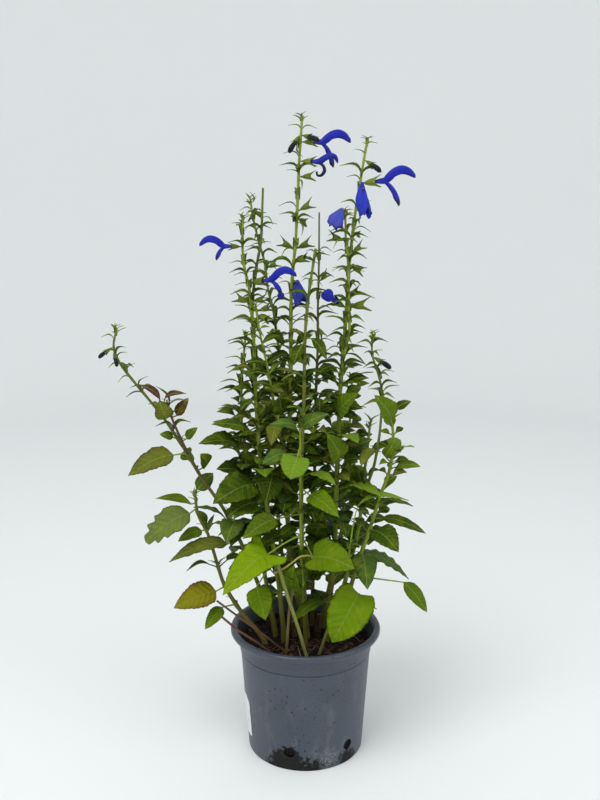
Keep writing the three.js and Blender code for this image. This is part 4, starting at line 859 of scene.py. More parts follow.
# %% Large leaves: stem, height of the foot, blade base, blade tip, width, form, tilt to the front, tone
LEAVES = [
  ["young", 262, [-40, -56, 249], [-85, -98, 221], 44, "hastate", 0.9, "bright"],
  ["left_short", 194, [-100, -16, 190], [-145, -34, 178], 30, "ovate", 1.2, "yellow"],
  ["left_short", 172, [-93, -18, 172], [-111, -34, 153], 16, "small", 1.2, "lime"],
  ["left", 226, [-53, -46, 208], [-43, -64, 178], 27, "ovate", 1.6, "lime"],
  ["young", 286, [-32, -42, 283], [-66, -64, 269], 24, "ovate", 0.9, "mid"],
  ["lateral", 276, [-76, -32, 277], [-84, -58, 262], 26, "ovate", 0.8, "blue"],
  ["lateral", 250, [-86, -18, 246], [-148, -38, 233], 21, "ovate", 0.5, "olive"],
  ["left_short", 262, [-114, -16, 261], [-139, -28, 253], 16, "small", 0.8, "mid"],
  ["left_short", 286, [-126, -22, 283], [-173, -36, 255], 33, "ragged", 1.2, "grey"],
  ["left_short", 292, [-126, -14, 291], [-164, -16, 298], 11, "lance", 0.8, "mid"],
  ["left_short", 301, [-118, -14, 307], [-95, -16, 321], 18, "small", 1, "blue"],
  ["lateral", 350, [-141, -28, 350], [-188, -42, 331], 26, "ovate", 1, "olive"],
  ["lateral", 338, [-126, -22, 342], [-146, -10, 349], 16, "small", 1, "mid"],
  ["side", 396, [-146, -38, 392], [-152, -44, 413], 20, "small", 3, "olive"],
  ["side", 392, [-136, -32, 394], [-124, -26, 412], 12, "small", 1.6, "red"],
  ["lateral", 366, [-142, -22, 368], [-156, -24, 372], 11, "small", 1, "mid"],
  ["lateral", 362, [-128, -20, 366], [-116, -18, 378], 11, "small", 1, "mid"],
  ["left_outer", 352, [-74, -4, 354], [-114, -30, 363], 24, "ovate", 0.7, "dark"],
  ["lateral", 330, [-106, -24, 338], [-112, -34, 353], 18, "small", 1, "dark"],
  ["left", 376, [-62, -20, 374], [-99, -38, 386], 18, "small", 0.7, "dark"],
  ["tall_centre", 390, [-31, -2, 388], [-36, -14, 412], 23, "obovate", 2, "dark"],
  ["left", 396, [-50, -16, 390], [-42, -24, 402], 11, "small", 1.5, "dark"],
  ["young", 382, [-10, -42, 384], [-37, -60, 391], 14, "small", 1, "blue"],
  ["young", 382, [-3, -42, 384], [23, -56, 401], 17, "small", 1.2, "blue"],
  ["young", 362, [-9, -52, 354], [-16, -72, 336], 31, "round", 1.6, "fresh"],
  ["young", 352, [-20, -46, 356], [-45, -64, 350], 19, "small", 0.8, "blue"],
  ["young", 316, [4, -46, 311], [34, -74, 296], 22, "ovate", 1, "lime"],
  ["cut_centre", 252, [8, -54, 244], [51, -72, 239], 40, "heart", 0.9, "lime"],
  ["low_right", 206, [57, -48, 201], [28, -64, 152], 46, "heart", 1.8, "lime"],
  ["low_right", 214, [110, -12, 199], [136, -18, 166], 17, "small", 1.2, "mid"],
  ["right_outer", 258, [76, -24, 264], [99, -50, 249], 28, "ovate", 0.8, "dark"],
  ["right_outer", 272, [84, -12, 274], [132, -20, 259], 14, "small", 0.8, "dark"],
  ["right_inner", 284, [68, 0, 281], [95, -10, 290], 14, "small", 0.8, "mid"],
  ["low_right", 246, [56, -26, 292], [111, -30, 300], 12, "lance", 0.2, "fresh"],
  ["right_outer", 330, [98, -18, 334], [122, -34, 339], 14, "small", 0.8, "mid"],
  ["right_outer", 338, [86, -22, 346], [94, -32, 366], 13, "small", 1.4, "mid"],
  ["tall_right", 386, [35, -2, 387], [56, -20, 416], 26, "ovate", 1, "mid"],
  ["right_outer", 378, [90, -28, 388], [71, -42, 418], 24, "ovate", 1.2, "mid"],
  ["right_outer", 380, [98, -6, 396], [114, -4, 404], 11, "small", 1, "dark"],
  ["tall_right", 342, [36, -18, 343], [22, -34, 375], 26, "ovate", 1.2, "mid"],
  ["tall_right", 336, [48, 2, 346], [72, -8, 362], 21, "ovate", 1, "blue"],
  ["tall_right", 300, [50, 6, 306], [46, -2, 336], 21, "ovate", 2, "dark"],
  ["tall_centre", 407, [-12, 2, 412], [10, -8, 441], 19, "small", 1, "dark"],
  ["tall_centre", 407, [-22, 12, 411], [-43, 14, 433], 15, "small", 1, "dark"],
  ["left_outer", 322, [-70, -4, 321], [-96, -26, 334], 26, "ovate", 0.8, "dark"],
  ["left", 318, [-58, -22, 316], [-104, -42, 303], 38, "ovate", 0.9, "dark"],
  ["left", 296, [-54, -28, 297], [-82, -48, 289], 31, "ovate", 0.9, "dark"],
  ["left", 334, [-38, -22, 326], [-48, -40, 300], 29, "ovate", 1.4, "dark"],
  ["tall_centre", 286, [-16, 0, 292], [-34, -4, 320], 26, "ovate", 1.4, "dark"],
  ["thin_cut", 240, [12, 10, 244], [20, -4, 279], 27, "ovate", 1.4, "dark"],
  ["cut_centre", 184, [-8, -26, 190], [-2, -44, 232], 27, "ovate", 2, "mid"],
  ["cut_centre", 474, [-3, -18, 468], [-13, -22, 446], 12, "lance", 1, "dark"],
  ["cut_centre", 474, [6, -18, 474], [22, -24, 452], 12, "lance", 1, "dark"],
  ["tall_centre", 458, [-24, 4, 464], [-42, 2, 478], 12, "lance", 0.8, "dark"],
  ["tall_centre", 458, [-10, 8, 464], [8, 14, 474], 11, "lance", 0.8, "dark"],
]

# %% Leafy stretches: stem, lowest and highest height, spacing, leaf lengths at both ends, first angle
WHORLS = [
  ["tall_centre", 236, 330, 47, 58, 44, 20], ["tall_centre", 436, 484, 48, 28, 22, 60],
  ["tall_right", 240, 424, 60, 58, 34, 70], ["left", 262, 424, 54, 54, 34, 10],
  ["left_outer", 262, 396, 60, 48, 32, 50], ["cut_centre", 250, 432, 70, 50, 30, 60],
  ["thin_cut", 262, 424, 70, 50, 28, 30], ["right_outer", 228, 344, 58, 48, 34, 80],
  ["right_inner", 240, 344, 70, 50, 36, 20], ["right_small", 346, 390, 60, 32, 24, 40],
  ["lateral", 214, 314, 60, 46, 36, 100], ["left_short", 214, 262, 46, 34, 28, 30],
  ["young", 226, 330, 60, 40, 32, 90], ["low_right", 172, 232, 58, 40, 34, 10],
  ["back_left", 188, 404, 64, 58, 32, 52], ["back_right", 196, 390, 62, 60, 32, 0],
  ["left_crossing", 440, 446, 34, 28, 26, 60], ["left_inner", 374, 400, 44, 34, 28, 80],
]
print("stems", len(STEMS), "sprigs", len(SPRIGS), "blooms", len(BLOOMS), "large leaves", len(LEAVES))

# %% [markdown]
# ## Stems
# A sage stem is square with rounded edges and a slight knot where leaves sit. The straight runs of the table
# are sampled finely and averaged, which bends them softly, and a superellipse gives the rounded square.

# %% The course and the skin of a stem
TREES = {}
for node_name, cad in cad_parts.items():
    if node_name.endswith("_stem"):
        places = [tuple(v.co / MM) for v in cad.data.vertices]
        TREES[node_name] = KDTree(len(places))
        for i, spot in enumerate(places):
            TREES[node_name].insert(spot, i)
        TREES[node_name].balance()

STEM_ROWS = {row[0]: row for row in STEMS}
CUT_STEMS = {"cut_centre", "thin_cut", "left_cut"}
STEM_TONES = {"cut_centre": paint(110, 118, 44), "thin_cut": paint(92, 98, 44), "left_cut": paint(88, 98, 44),
              "lateral": paint(100, 104, 44), "side": STEM_PURPLE, "left_short": paint(112, 112, 44),
              "right_small": paint(108, 118, 46)}


def node_of(name):
    """The node that a stem is part of: its own, or that of the stem it branches from."""
    return node_of(STEM_ROWS[name][1]) if STEM_ROWS[name][1] else name + "_stem"


def stem_point(name, height):
    """The middle of a stem at a height, on the straight runs of its table."""
    points = np.array(STEM_ROWS[name][4], float)
    k = 0
    while k + 2 < len(points) and points[k + 1][2] < height:
        k += 1
    share = (height - points[k][2]) / (points[k + 1][2] - points[k][2])
    return points[k] + (points[k + 1] - points[k]) * share


def stem_tone(name, height):
    """Brown at the compost, greener up the stem, with a reddish stretch on the leaning shoot."""
    tone = blend(STEM_BROWN, STEM_TONES.get(name, STEM_GREEN), limited((height - 128) / 130))
    red = max(0.0, 1 - abs(height - 330) / 45) if name == "lateral" else 0
    return blend(tone, STEM_PURPLE, 0.8 * red)


def grow_stem(skin, name, knots):
    """A stem with a swelling at each knot; a cut stem ends in a pale brown face."""
    row = STEM_ROWS[name]
    points = np.array(row[4], float)
    low, high = points[0][2], points[-1][2]
    heights = np.linspace(low, high, int((high - low) / 3.5))
    course = np.array([stem_point(name, h) for h in heights])
    for _ in range(6):
        course[1:-1] = course[1:-1] * 0.5 + (course[:-2] + course[2:]) * 0.25
    rings, tints = [], []
    around = math.pi - 2 * math.pi * np.arange(12) / 12
    squared = (abs(np.cos(around)) ** 5 + abs(np.sin(around)) ** 5) ** -0.2
    for k, (place, height) in enumerate(zip(course, heights)):
        along = unit(course[min(k + 1, len(course) - 1)] - course[max(k - 1, 0)])
        right = unit(np.cross([0, 1, 0], along))
        up = np.cross(right, along)
        share = (height - low) / (high - low)
        half = (row[2] + (row[3] - row[2]) * share) * 0.92
        half *= 1 + 0.22 * max([math.exp(-((height - knot) / 2.6) ** 2) for knot in knots] or [0])
        half *= 1 + 0.35 * max(0.0, 1 - abs(height - 129) / 14)
        rings.append(ring_about(place, right, up, around, half * squared, half * squared))
        tints.append([stem_tone(name, height)] * 12)
    if name in CUT_STEMS:
        centre = np.mean(rings[-1], axis=0)
        for shrink, drop in ((0.8, 0.25), (0.3, -0.5)):
            rings.append(centre + (rings[-1] - centre) * shrink + [0, 0, drop])
            tints.append([paint(112, 84, 52)] * 12)
    skin.tube(rings, STEM, tints)


print("stems:", len(STEMS), "searchable nodes:", len(TREES))

# %% [markdown]
# ## Leaves
# A leaf is one tube: a round stalk that opens into a flat blade. Across the blade the section is a shallow V
# with a rib below; along it the outline comes from the table of forms. Serration, the wave of the edge and
# the puffed skin between the side veins are added with sines, which keep their count on every size of leaf.
# Where two leaves would cross, the solid was turned or lifted about its foot, so the blade is tried at each
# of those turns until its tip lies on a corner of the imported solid.

# %% Leaf forms: teeth, arch, fold, the height and count of the edge's wave, and the edge itself
# A row of an edge is a place along the blade, the share of the half width, and how far the edge runs ahead.
FORMS = {
    "ovate": {"tooth": 0.09, "arch": 0.14, "fold": 0.24, "wave": (0.1, 2.3), "edge": [[0, 0.05, 0],
        [0.07, 0.66, 0], [0.26, 1, 0.01], [0.46, 0.97, 0.02], [0.65, 0.74, 0.03], [0.84, 0.38, 0.02]]},
    "hastate": {"tooth": 0.08, "arch": 0.168, "fold": 0.2, "wave": (0.1, 2.3), "edge": [[0, 0.05, 0],
        [0.05, 0.96, -0.15], [0.15, 0.9, -0.02], [0.29, 0.84, 0.02], [0.44, 0.75, 0.03],
        [0.59, 0.6, 0.03], [0.75, 0.42, 0.03], [0.88, 0.21, 0.02]]},
    "round": {"tooth": 0.07, "arch": 0.168, "fold": 0.2, "wave": (0.1, 2.3), "edge": [[0, 0.06, 0],
        [0.06, 0.62, -0.05], [0.2, 0.95, 0], [0.38, 1, 0.02], [0.56, 0.95, 0.02], [0.73, 0.77, 0.03],
        [0.88, 0.46, 0.02]]},
    "obovate": {"tooth": 0.06, "arch": 0.14, "fold": 0.2, "wave": (0.1, 2.3), "edge": [[0, 0.06, 0],
        [0.2, 0.4, 0], [0.42, 0.76, 0], [0.64, 1, 0.02], [0.84, 0.8, 0.02]]},
    "ragged": {"tooth": 0.05, "arch": 0.196, "fold": 0.18, "wave": (0.1, 2.3), "edge": [[0, 0.06, 0],
        [0.1, 0.62, -0.03], [0.24, 0.95, 0.02], [0.38, 1, 0], [0.46, 0.84, -0.02], [0.54, 0.92, 0.05],
        [0.66, 0.66, -0.03], [0.74, 0.74, 0.06], [0.84, 0.42, -0.02], [0.92, 0.36, 0.04]]},
    "heart": {"tooth": 0.07, "arch": 0.196, "fold": 0.22, "wave": (0.1, 2.3), "edge": [[0, 0.05, 0],
        [0.04, 0.62, -0.14], [0.13, 0.94, -0.08], [0.28, 1, 0], [0.46, 0.93, 0.02], [0.64, 0.74, 0.03],
        [0.82, 0.45, 0.02]]},
    "small": {"tooth": 0.06, "arch": 0.14, "fold": 0.06, "wave": (0.05, 1.7), "edge": [[0, 0.08, 0],
        [0.09, 0.66, 0], [0.32, 1, 0], [0.6, 0.8, 0.02], [0.84, 0.4, 0.02]]},
    "lance": {"tooth": 0, "arch": 0.182, "fold": 0.3, "wave": (0.05, 1.7), "edge": [[0, 0.2, 0],
        [0.3, 1, 0], [0.68, 0.74, 0]]},
    "bract": {"tooth": 0, "arch": 0.32, "fold": 0.75, "wave": (0.05, 1.7), "edge": [[0.02, 0.8, 0],
        [0.5, 1, 0]]},
}

# %% Finding the turn that a leaf was given, and growing the leaf
TURNS = [0, 9, -9, 18, -18, 27, -27, 38, -38, 50, -50, 64, -64, 80, -80]
LIFTS = [0, 12, -12, 24]
NEAR_ENOUGH = 0.03
moved_leaves = []
lost_leaves = []


def turned(point, root, turn, lift):
    """A point swung up by lift and round the upright by turn, in degrees about the leaf's foot."""
    out = point - root
    if np.hypot(out[0], out[1]) > 1e-6:
        out = spun(out, unit(np.array([-out[1], out[0], 0.0])), -lift)
    return spun(out, UPRIGHT, turn) + root


def as_packed(name, root, base, tip, hint):
    """Base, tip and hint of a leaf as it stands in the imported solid."""
    tree = TREES[node_of(name)]
    for lift in LIFTS:
        for turn in TURNS:
            new_tip = turned(tip, root, turn, lift)
            if tree.find(new_tip)[2] < NEAR_ENOUGH:
                if turn or lift:
                    moved_leaves.append(name)
                return turned(base, root, turn, lift), new_tip, spun(hint, UPRIGHT, turn)
    lost_leaves.append((name, root.round().tolist()))
    return base, tip, hint


def outline(form, width, teeth, places):
    """Half widths with teeth, half widths without, forward run of the edge, and its wave."""
    edge = form["edge"] + [[1, 0, 0]]
    share = np.maximum(eased(edge, 1, places), 0)
    least = 0.8 - 0.6 * places
    half = np.maximum(least, width / 2 * share)
    cut = form["tooth"] * 0.6 * (1 - np.sin(math.pi * (places * teeth % 1)) ** 0.6)
    marks = [row[0] for row in edge]
    ahead = np.interp(places, marks, [row[2] for row in edge])
    height, count = form["wave"]
    wave = np.interp(places, marks, height * np.sin(count * np.arange(len(edge)) + width))
    return np.maximum(least, half * (1 - cut)), half, ahead, wave


def stalk_rings(root, base, along, up, columns):
    """A round stalk that starts straight and comes round to the blade's own course."""
    stalk = base - root
    length = np.linalg.norm(stalk)
    if length <= 2:
        return []
    stalk = stalk / length
    bow = length * (0.07 if length > 28 else 0.03)
    around = math.pi - math.pi * np.arange(2 * columns) / columns
    rings = []
    for share in np.linspace(0, 0.94, 7):
        ahead = unit(stalk * (1 - share ** 3) + along * share ** 3)
        right = unit(np.cross(ahead, up))
        centre = root + stalk * length * share + up * bow * math.sin(math.pi * share)
        girth = 1.0 - 0.25 * share
        rings.append(ring_about(centre, right, np.cross(right, ahead), around, girth, girth * 0.85))
    return rings


# Yellowing leaves have brown margins.
RIM_TONES = {LEAF_TONES["yellow"]: paint(112, 66, 26), LEAF_TONES["olive"]: paint(74, 62, 46)}
PLAIN_ROWS = {"lance": 10, "bract": 7}
SIDE_VEINS = 8


def grow_leaf(skin, root, base, tip, width, form_name, hint, tone, columns=8, seed=0):
    """A leaf from its foot on the stem, over the base of its blade, to its tip; it faces the hint."""
    form = FORMS[form_name]
    length = np.linalg.norm(tip - base)
    along = (tip - base) / length
    up = unit(hint - along * np.dot(hint, along))
    right = np.cross(along, up)
    teeth = max(4, round(length / 4.6)) if form["tooth"] else 1
    rows = PLAIN_ROWS.get(form_name, 4 * teeth)
    places = np.linspace(0, 1, rows + 1)
    toothed_half, half, ahead, wave = outline(form, width, teeth, places)
    steps = np.arange(2 * columns)
    below = steps > columns
    across = np.where(below, 1 - 2 * (steps - columns) / columns, -1 + 2 * steps / columns)
    side = np.abs(across)
    thick = 0.3 * (1 - side ** 6)
    puffed = 0.4 * limited((half.max() - 4) / 6) * np.sin(math.pi * side)
    rib = 0.55 * (side < 0.02) * (columns > 4)
    rings = stalk_rings(root, base, along, up, columns)
    blade = [[(0, 0, 0.3)] * len(steps) for _ in rings]
    for k, place in enumerate(places):
        arch = form["arch"] * math.sin(math.pi * place ** 0.8)
        centre = base + along * place * length + up * arch * length
        reach = half[k] + (toothed_half[k] - half[k]) * side ** 4
        rise = half[k] * side ** 1.2 * (form["fold"] + np.where(across < 0, wave[k], -wave[k]))
        rise += half[k] * 0.06 * math.sin(place * teeth * 2.6 + seed) * side ** 3
        rise += puffed * np.cos(2 * math.pi * SIDE_VEINS * (place - 0.2 * side))
        rise += np.where(below, -thick - rib * (1 - place), thick)
        rings.append(centre + np.outer(across * reach, right) + np.outer(ahead[k] * length * side, along)
                     + np.outer(rise, up))
        blade.append([(u, place, half[k]) for u in across])
    tint = np.empty((len(rings), len(steps), 4))
    tint[:] = tone
    tint[:, :, :3] *= 0.86 + 0.28 * chance(seed, 5)
    tint[:, columns + 1:, 3] = 0
    if tone in RIM_TONES:
        margin = 0.8 * np.clip((side - 0.55) / 0.45, 0, 1)[None, :, None]
        end = 0.7 * np.maximum(0, (places - 0.8) / 0.2)[:, None, None]
        green = tint[-rows - 1:, :, :3]
        tint[-rows - 1:, :, :3] = blend(green, RIM_TONES[tone][:3], np.maximum(margin, end))
    skin.tube(rings, LEAF, tint, blade)


print("leaf grower ready")

# %% [markdown]
# ## Calyces
# The calyx is a ribbed bell with a pointed upper lip and a lower lip of two teeth. After the flower has
# dropped it gapes like a beak. A modelled cup with a real mouth reads better than a painted one, and the
# corolla can sit deep inside it.

# %% The calyx: a bell whose edge runs out into three points
BELL = [[0, 0.62], [3, 0.66], [4.4, 1.1], [6.4, 2.0], [9, 2.7], [11.6, 3.1], [13, 3.3]]
BELL_LENGTH = 12.6
BELL_SHARE = 0.62
CALYX_CORNERS = 32
OUTER_SHARES = (0, 0.1, 0.18, 0.25, 0.33, 0.42, 0.52, 0.62, 0.7, 0.78, 0.86, 0.93, 1)
INNER_SHARES = (0.99, 0.9, 0.78, 0.62, 0.5)


def calyx_ring(root, along, up, scale, share, inside):
    """The ring at a share of the length and a depth inside the wall; beyond the bell the points run out."""
    theta = 2 * math.pi * np.arange(CALYX_CORNERS) / CALYX_CORNERS
    top = np.maximum(0, 1 - np.minimum(theta, 2 * math.pi - theta) / 1.3)
    low = np.maximum(0, 1 - np.abs(np.abs(theta - math.pi) - 0.3) / 0.95)
    beyond = max(0.0, (share - BELL_SHARE) / (1 - BELL_SHARE))
    run = BELL_LENGTH * min(share, BELL_SHARE) / BELL_SHARE + (6.6 * top ** 1.2 + 6.0 * low ** 1.2) * beyond
    girth = eased(BELL, 1, np.minimum(run, 13)) + 2.2 * beyond * np.maximum(top, low)
    girth = np.maximum(0.3, girth + 0.1 * np.cos(10 * theta) * np.minimum(1, run / 6) - inside)
    return root + (np.outer(run, along) + np.outer(np.sin(theta) * girth, np.cross(along, up))
                   + np.outer(np.cos(theta) * girth * 1.04, up)) * scale


def grow_calyx(skin, root, along, up, scale, tone):
    """A calyx with an inner wall and a throat darkened as painted shade; gives back the rings that carry its
    down.
    """
    rings = [calyx_ring(root, along, up, scale, share, 0) for share in OUTER_SHARES]
    rings += [calyx_ring(root, along, up, scale, share, 0.4) for share in INNER_SHARES]
    rings.append(calyx_ring(root, along, up, scale, 0.48, 2.2))
    marks = [[(2 * math.pi * j / CALYX_CORNERS, i / len(rings), 1) for j in range(CALYX_CORNERS)]
             for i in range(len(rings))]
    tint = np.empty((len(rings), CALYX_CORNERS, 4))
    tint[:] = tone
    # Painted shade: the inner wall and throat of the cup are darkened to 0.6 of the tone.
    tint[len(OUTER_SHARES):, :, :3] *= 0.6
    skin.tube(rings, CALYX_SKIN, tint, marks)
    return rings[3:12]


def add_down(skin, rings, count, length, material, tone, seed):
    """Short stiff hairs standing out of a skin."""
    pick = random.Random(seed)
    for _ in range(count):
        ring = rings[pick.randrange(len(rings))]
        foot = np.array(ring[pick.randrange(len(ring))])
        centre = np.mean(ring, axis=0)
        out = unit(foot - centre + 1e-6)
        out = unit(out + np.array([pick.uniform(-0.3, 0.3) for _ in range(3)]))
        side = unit(np.cross(out, [0.3, 0.5, 0.8]))
        other = np.cross(out, side)
        tall = length * pick.uniform(0.6, 1.2)
        corners = np.array([0, 2.1, 4.2])
        skin.tube([ring_about(foot + out * (tall * t - 0.1), side, other, corners, r, r)
                   for t, r in ((0, 0.07), (1, 0.015))], material, tone)


# %% [markdown]
# ## Blooms
# The corolla is a tube that splits into a hood and a lower lip. The hood is a sheet folded over like a long
# tunnel, open below; the lip hangs down and ends in two rounded lobes. Both follow a course in the bloom's
# own plane: how far along, how far up, and the half width and half height there. Flowers don't fade alike:
# one has rolled its lip in, three hang as limp cones of folds with torn ends, and one is a ball before its
# tube.

# %% Courses of the petals: run, rise, half width, half height
HOOD = [[0, 0, 1.6, 1.6], [3, 0, 2.2, 2.3], [9, 0, 2.8, 3.1], [13, 2.3, 3, 4.2], [19, 5.4, 3.1, 5.1],
  [25, 6.6, 3, 5.2], [30, 5.0, 2.6, 4.4], [35.5, 0.6, 1.6, 2.4]]
LIP = [[8, -0.5, 1.6, 1.6], [13, -6, 2.6, 2.1], [16, -12, 3.8, 2.5], [18, -17.5, 4.8, 2.3],
  [18.8, -22, 4, 1.7], [18.6, -25, 2.4, 1]]
HOOD_CURLED = [[0, 0, 1.6, 1.6], [3, 0, 2.4, 2.5], [9, 0.5, 3, 3.5], [15, 4, 3, 3.8], [21, 7, 2.8, 3.6],
  [27, 6, 2.3, 2.8], [30, 1, 1.4, 1.6]]
LIP_CURLED = [[8, -0.5, 1.8, 1.6], [14, -4.5, 2.6, 1.8], [16, -10, 2.6, 1.8], [12, -15, 2.4, 1.7],
  [7.5, -15, 2, 1.4], [6, -11, 1.3, 1]]
FADED_BLUE = paint(24, 30, 150)
SEAT_DEPTH = 2.4


class Course:
    """A smooth run of petal places with the frame and half sizes at each."""

    def __init__(self, rows, mouth, along, up, scale):
        rows = np.array(rows, float)
        steps = np.linalg.norm(np.diff(rows[:, :2], axis=0), axis=1)
        length = np.concatenate([[0], np.cumsum(steps)]) / steps.sum()
        self.shares = np.linspace(0, 1, 121)
        run, rise, wide, high = (eased(np.column_stack([length, rows[:, c]]).tolist(), 1, self.shares)
                                 for c in range(4))
        self.right = np.cross(along, up)
        self.places = mouth + np.outer(run * scale, along) + np.outer(rise * scale, up)
        heading = np.gradient(self.places, axis=0)
        self.heading = heading / np.linalg.norm(heading, axis=1)[:, None]
        self.lift = np.cross(self.right, self.heading)
        self.sizes = np.column_stack([wide, high]) * scale

    def at(self, share):
        """Place, lift, half width and half height at a share of the course."""
        mixed = [np.array([np.interp(share, self.shares, values[:, c]) for c in range(values.shape[1])])
                 for values in (self.places, self.lift, self.sizes)]
        return mixed[0], unit(mixed[1]), mixed[2][0], mixed[2][1]


def grow_hood(skin, course, scale, tone, dark, curled, seed):
    """The upper lip: a folded sheet with an outer and an inner face; dark is how navy its end turns."""
    rows, half_around = 34, 15
    rings, tint, marks = [], [], []
    for i in range(rows + 1):
        share = i / rows
        place, lift, wide, high = course.at(share)
        opened = limited((share - 0.24) / 0.24)
        spread = math.radians(179.4 - (40 if curled else 56) * opened)
        ring = []
        for inner in (False, True):
            wall = (0.35 if inner else 0) * scale
            for j in range(half_around + 1):
                phi = -spread + 2 * spread * j / half_around
                phi = -phi if inner else phi
                edge = abs(phi / spread) ** 6 * opened
                w = max(0.25, wide - wall) * (1 - 0.16 * math.cos(phi) * opened) * (1 + 0.18 * edge)
                w += 0.25 * edge * math.sin(share * 24 + seed)
                h = max(0.25, high - wall)
                ring.append(place + course.right * math.sin(phi) * w + lift * math.cos(phi) * h)
        rings.append(ring)
        shade = min(1.0, 0.15 + dark * max(0.0, (share - 0.72) / 0.28))
        pale = max(0.0, 1 - share / 0.3)
        tint.append([blend(blend(tone, NAVY, 0.75 * shade), paint(96, 92, 178), 0.45 * pale)] * len(ring))
        marks.append([(math.sin(2 * math.pi * j / len(ring)), share, 1) for j in range(len(ring))])
    place, lift, wide, high = course.at(1.0)
    nose = place + (course.heading[-1] * 2.0 - lift * 0.4) * scale
    rings.append([nose + (np.array(p) - place) * 0.25 for p in rings[-1]])
    tint.append(tint[-1])
    marks.append(marks[-1])
    skin.tube(rings, PETAL, tint, marks)


def grow_lip(skin, course, scale, tone, curled, seed):
    """The lower lip: a sheet with a white mark at its throat and a dark end, notched unless it is curled."""
    rows, columns = 30, 14
    rings, tint, marks = [], [], []
    for i in range(rows + 1):
        ring, colours, values = [], [], []
        for j in range(2 * columns):
            below = j > columns
            u = 1 - 2 * (j - columns) / columns if below else -1 + 2 * j / columns
            notch = 0.13 * math.exp(-(u / 0.26) ** 2) + 0.12 * abs(u) ** 3
            share = i / rows * (1 - (0 if curled else notch))
            place, lift, wide, high = course.at(share)
            frill = 0.5 * scale * math.sin(share * 15 + 4 * u + seed) * u * u * share
            rise = high * (1 - 1.9 * u * u) + frill - (0.3 * scale if below else 0)
            ring.append(place + course.right * u * wide * 0.85 + lift * rise)
            white = math.exp(-((share - 0.2) / 0.14) ** 2) * math.exp(-(u / 0.35) ** 2)
            colour = blend(tone, paint(14, 14, 34), limited((share - 0.66) / 0.2))
            colours.append(blend(colour, paint(190, 196, 240), 0.5 * white))
            values.append((u, share, 1))
        rings.append(ring)
        tint.append(colours)
        marks.append(values)
    skin.tube(rings, PETAL, tint, marks)


def grow_bloom(name, mouth, along, up, scale, curled):
    """An open bloom, or one that has rolled its lip in and faded."""
    skin = Skin()
    mouth = mouth - along * SEAT_DEPTH * scale
    seed = len(name)
    tone, dark = (FADED_BLUE, 1.0) if curled else (BLUE, 0.3)
    hood, lip = ([[run + SEAT_DEPTH, rise, w, h] for run, rise, w, h in rows]
                 for rows in ((HOOD_CURLED, LIP_CURLED) if curled else (HOOD, LIP)))
    hood_course = Course([[0, 0, 1.3, 1.3]] + hood, mouth, along, up, scale)
    grow_hood(skin, hood_course, scale, tone, dark, curled, seed)
    if name in ("bloom_left", "bloom_middle"):
        lip = [[run * 0.85 + 1, rise * 0.68, w * 0.85, h] for run, rise, w, h in lip]
    lip_course = Course(lip, mouth, along, up, scale)
    grow_lip(skin, lip_course, scale, NAVY if curled else tone, curled, seed)
    if name == "bloom_middle":
        grow_ball(skin, lip_course.at(1.0)[0] - up * 1.5, 3.7, paint(18, 24, 120), 2)
    return skin.piece(name + "_petals", "petal", name)


def grow_wilted(name, mouth, along, length, width, tone, seed):
    """A spent corolla: a limp cone of folds that ends in torn lobes."""
    skin = Skin()
    drop = unit(along * 0.35 - UPRIGHT)
    right = unit(np.cross(drop, [0.0, -1.0, 0.15]))
    front = np.cross(right, drop)
    rings, tint, marks = [], [], []
    for share, inner in [(t / 16, 0) for t in range(17)] + [(t / 16, 1) for t in (16, 13, 9)]:
        ring, colours, values = [], [], []
        for j in range(40):
            a = 2 * math.pi * j / 40
            fold = 0.18 * math.sin(5 * a + 4 * share + seed) + 0.1 * math.sin(11 * a - 7 * share + 2 * seed)
            torn = 0.12 * math.sin(2 * a + seed) + 0.06 * math.sin(5 * a + 2 * seed) + 0.03 * math.sin(9 * a)
            reach = share * (1 + torn * share) * length
            swell = 1.6 + (width / 2 - 1.6) * math.sin(min(1.0, share * 1.25) * 1.7)
            girth = max(0.3, swell * (1 + fold * share) - inner)
            sway = 1.4 * math.sin(share * 3.2 + seed)
            ring.append(mouth + drop * reach + right * (math.cos(a) * girth + sway)
                        + front * math.sin(a) * girth * 0.6)
            dark = limited((share - 0.7) / 0.3) * (0.5 + 0.5 * math.sin(3 * a + seed))
            colours.append(blend(tone, NAVY, 0.6 * dark))
            values.append((a, share, 1))
        rings.append(ring)
        tint.append(colours)
        marks.append(values)
    skin.tube(rings, PETAL, tint, marks)
    return skin.piece(name + "_petals", "petal", name)


def grow_ball(skin, centre, radius, tone, seed):
    """The rolled-up end of a petal: a ball with spiral folds."""
    rings, marks = [], []
    for t in np.linspace(0.02, 0.98, 19):
        polar = math.pi * t
        ring = []
        for j in range(28):
            a = 2 * math.pi * j / 28
            r = radius * (1 + 0.09 * math.sin(3 * a + 7 * t + seed) * math.sin(polar))
            ring.append(centre + r * np.array([math.sin(polar) * math.cos(a), math.cos(polar),
                                               math.sin(polar) * math.sin(a)]))
        rings.append(ring)
        marks.append([(a / 7, t, 1) for a in range(28)])
    skin.tube(rings, PETAL, tone, marks)


def grow_rolled(name, mouth, centre, radius, tone):
    """A corolla whose petals have rolled up into a ball in front of its tube."""
    skin = Skin()
    course = [mouth + (centre - mouth) * t for t in np.linspace(0, 0.8, 7)]
    side = unit(np.cross(centre - mouth, UPRIGHT))
    lift = unit(np.cross(side, centre - mouth))
    around = np.linspace(0, 2 * math.pi, 16, endpoint=False)
    skin.tube([ring_about(place, side, lift, around, r, r)
               for place, r in zip(course, (1.3, 1.7, 2.1, 2.6, 3.1, 3.4, 2.6))], PETAL, tone)
    grow_ball(skin, centre, radius, tone, 1)
    return skin.piece(name + "_petals", "petal", name)


BUD = [[0, 0, 1.6, 1.6], [3, 0, 2.2, 2.2], [7, 0, 3.2, 3.2], [12, -0.3, 3.7, 3.7], [16, -0.9, 3.4, 3.4],
       [19, -2.0, 2.1, 2.2], [20, -2.6, 0.4, 0.4]]


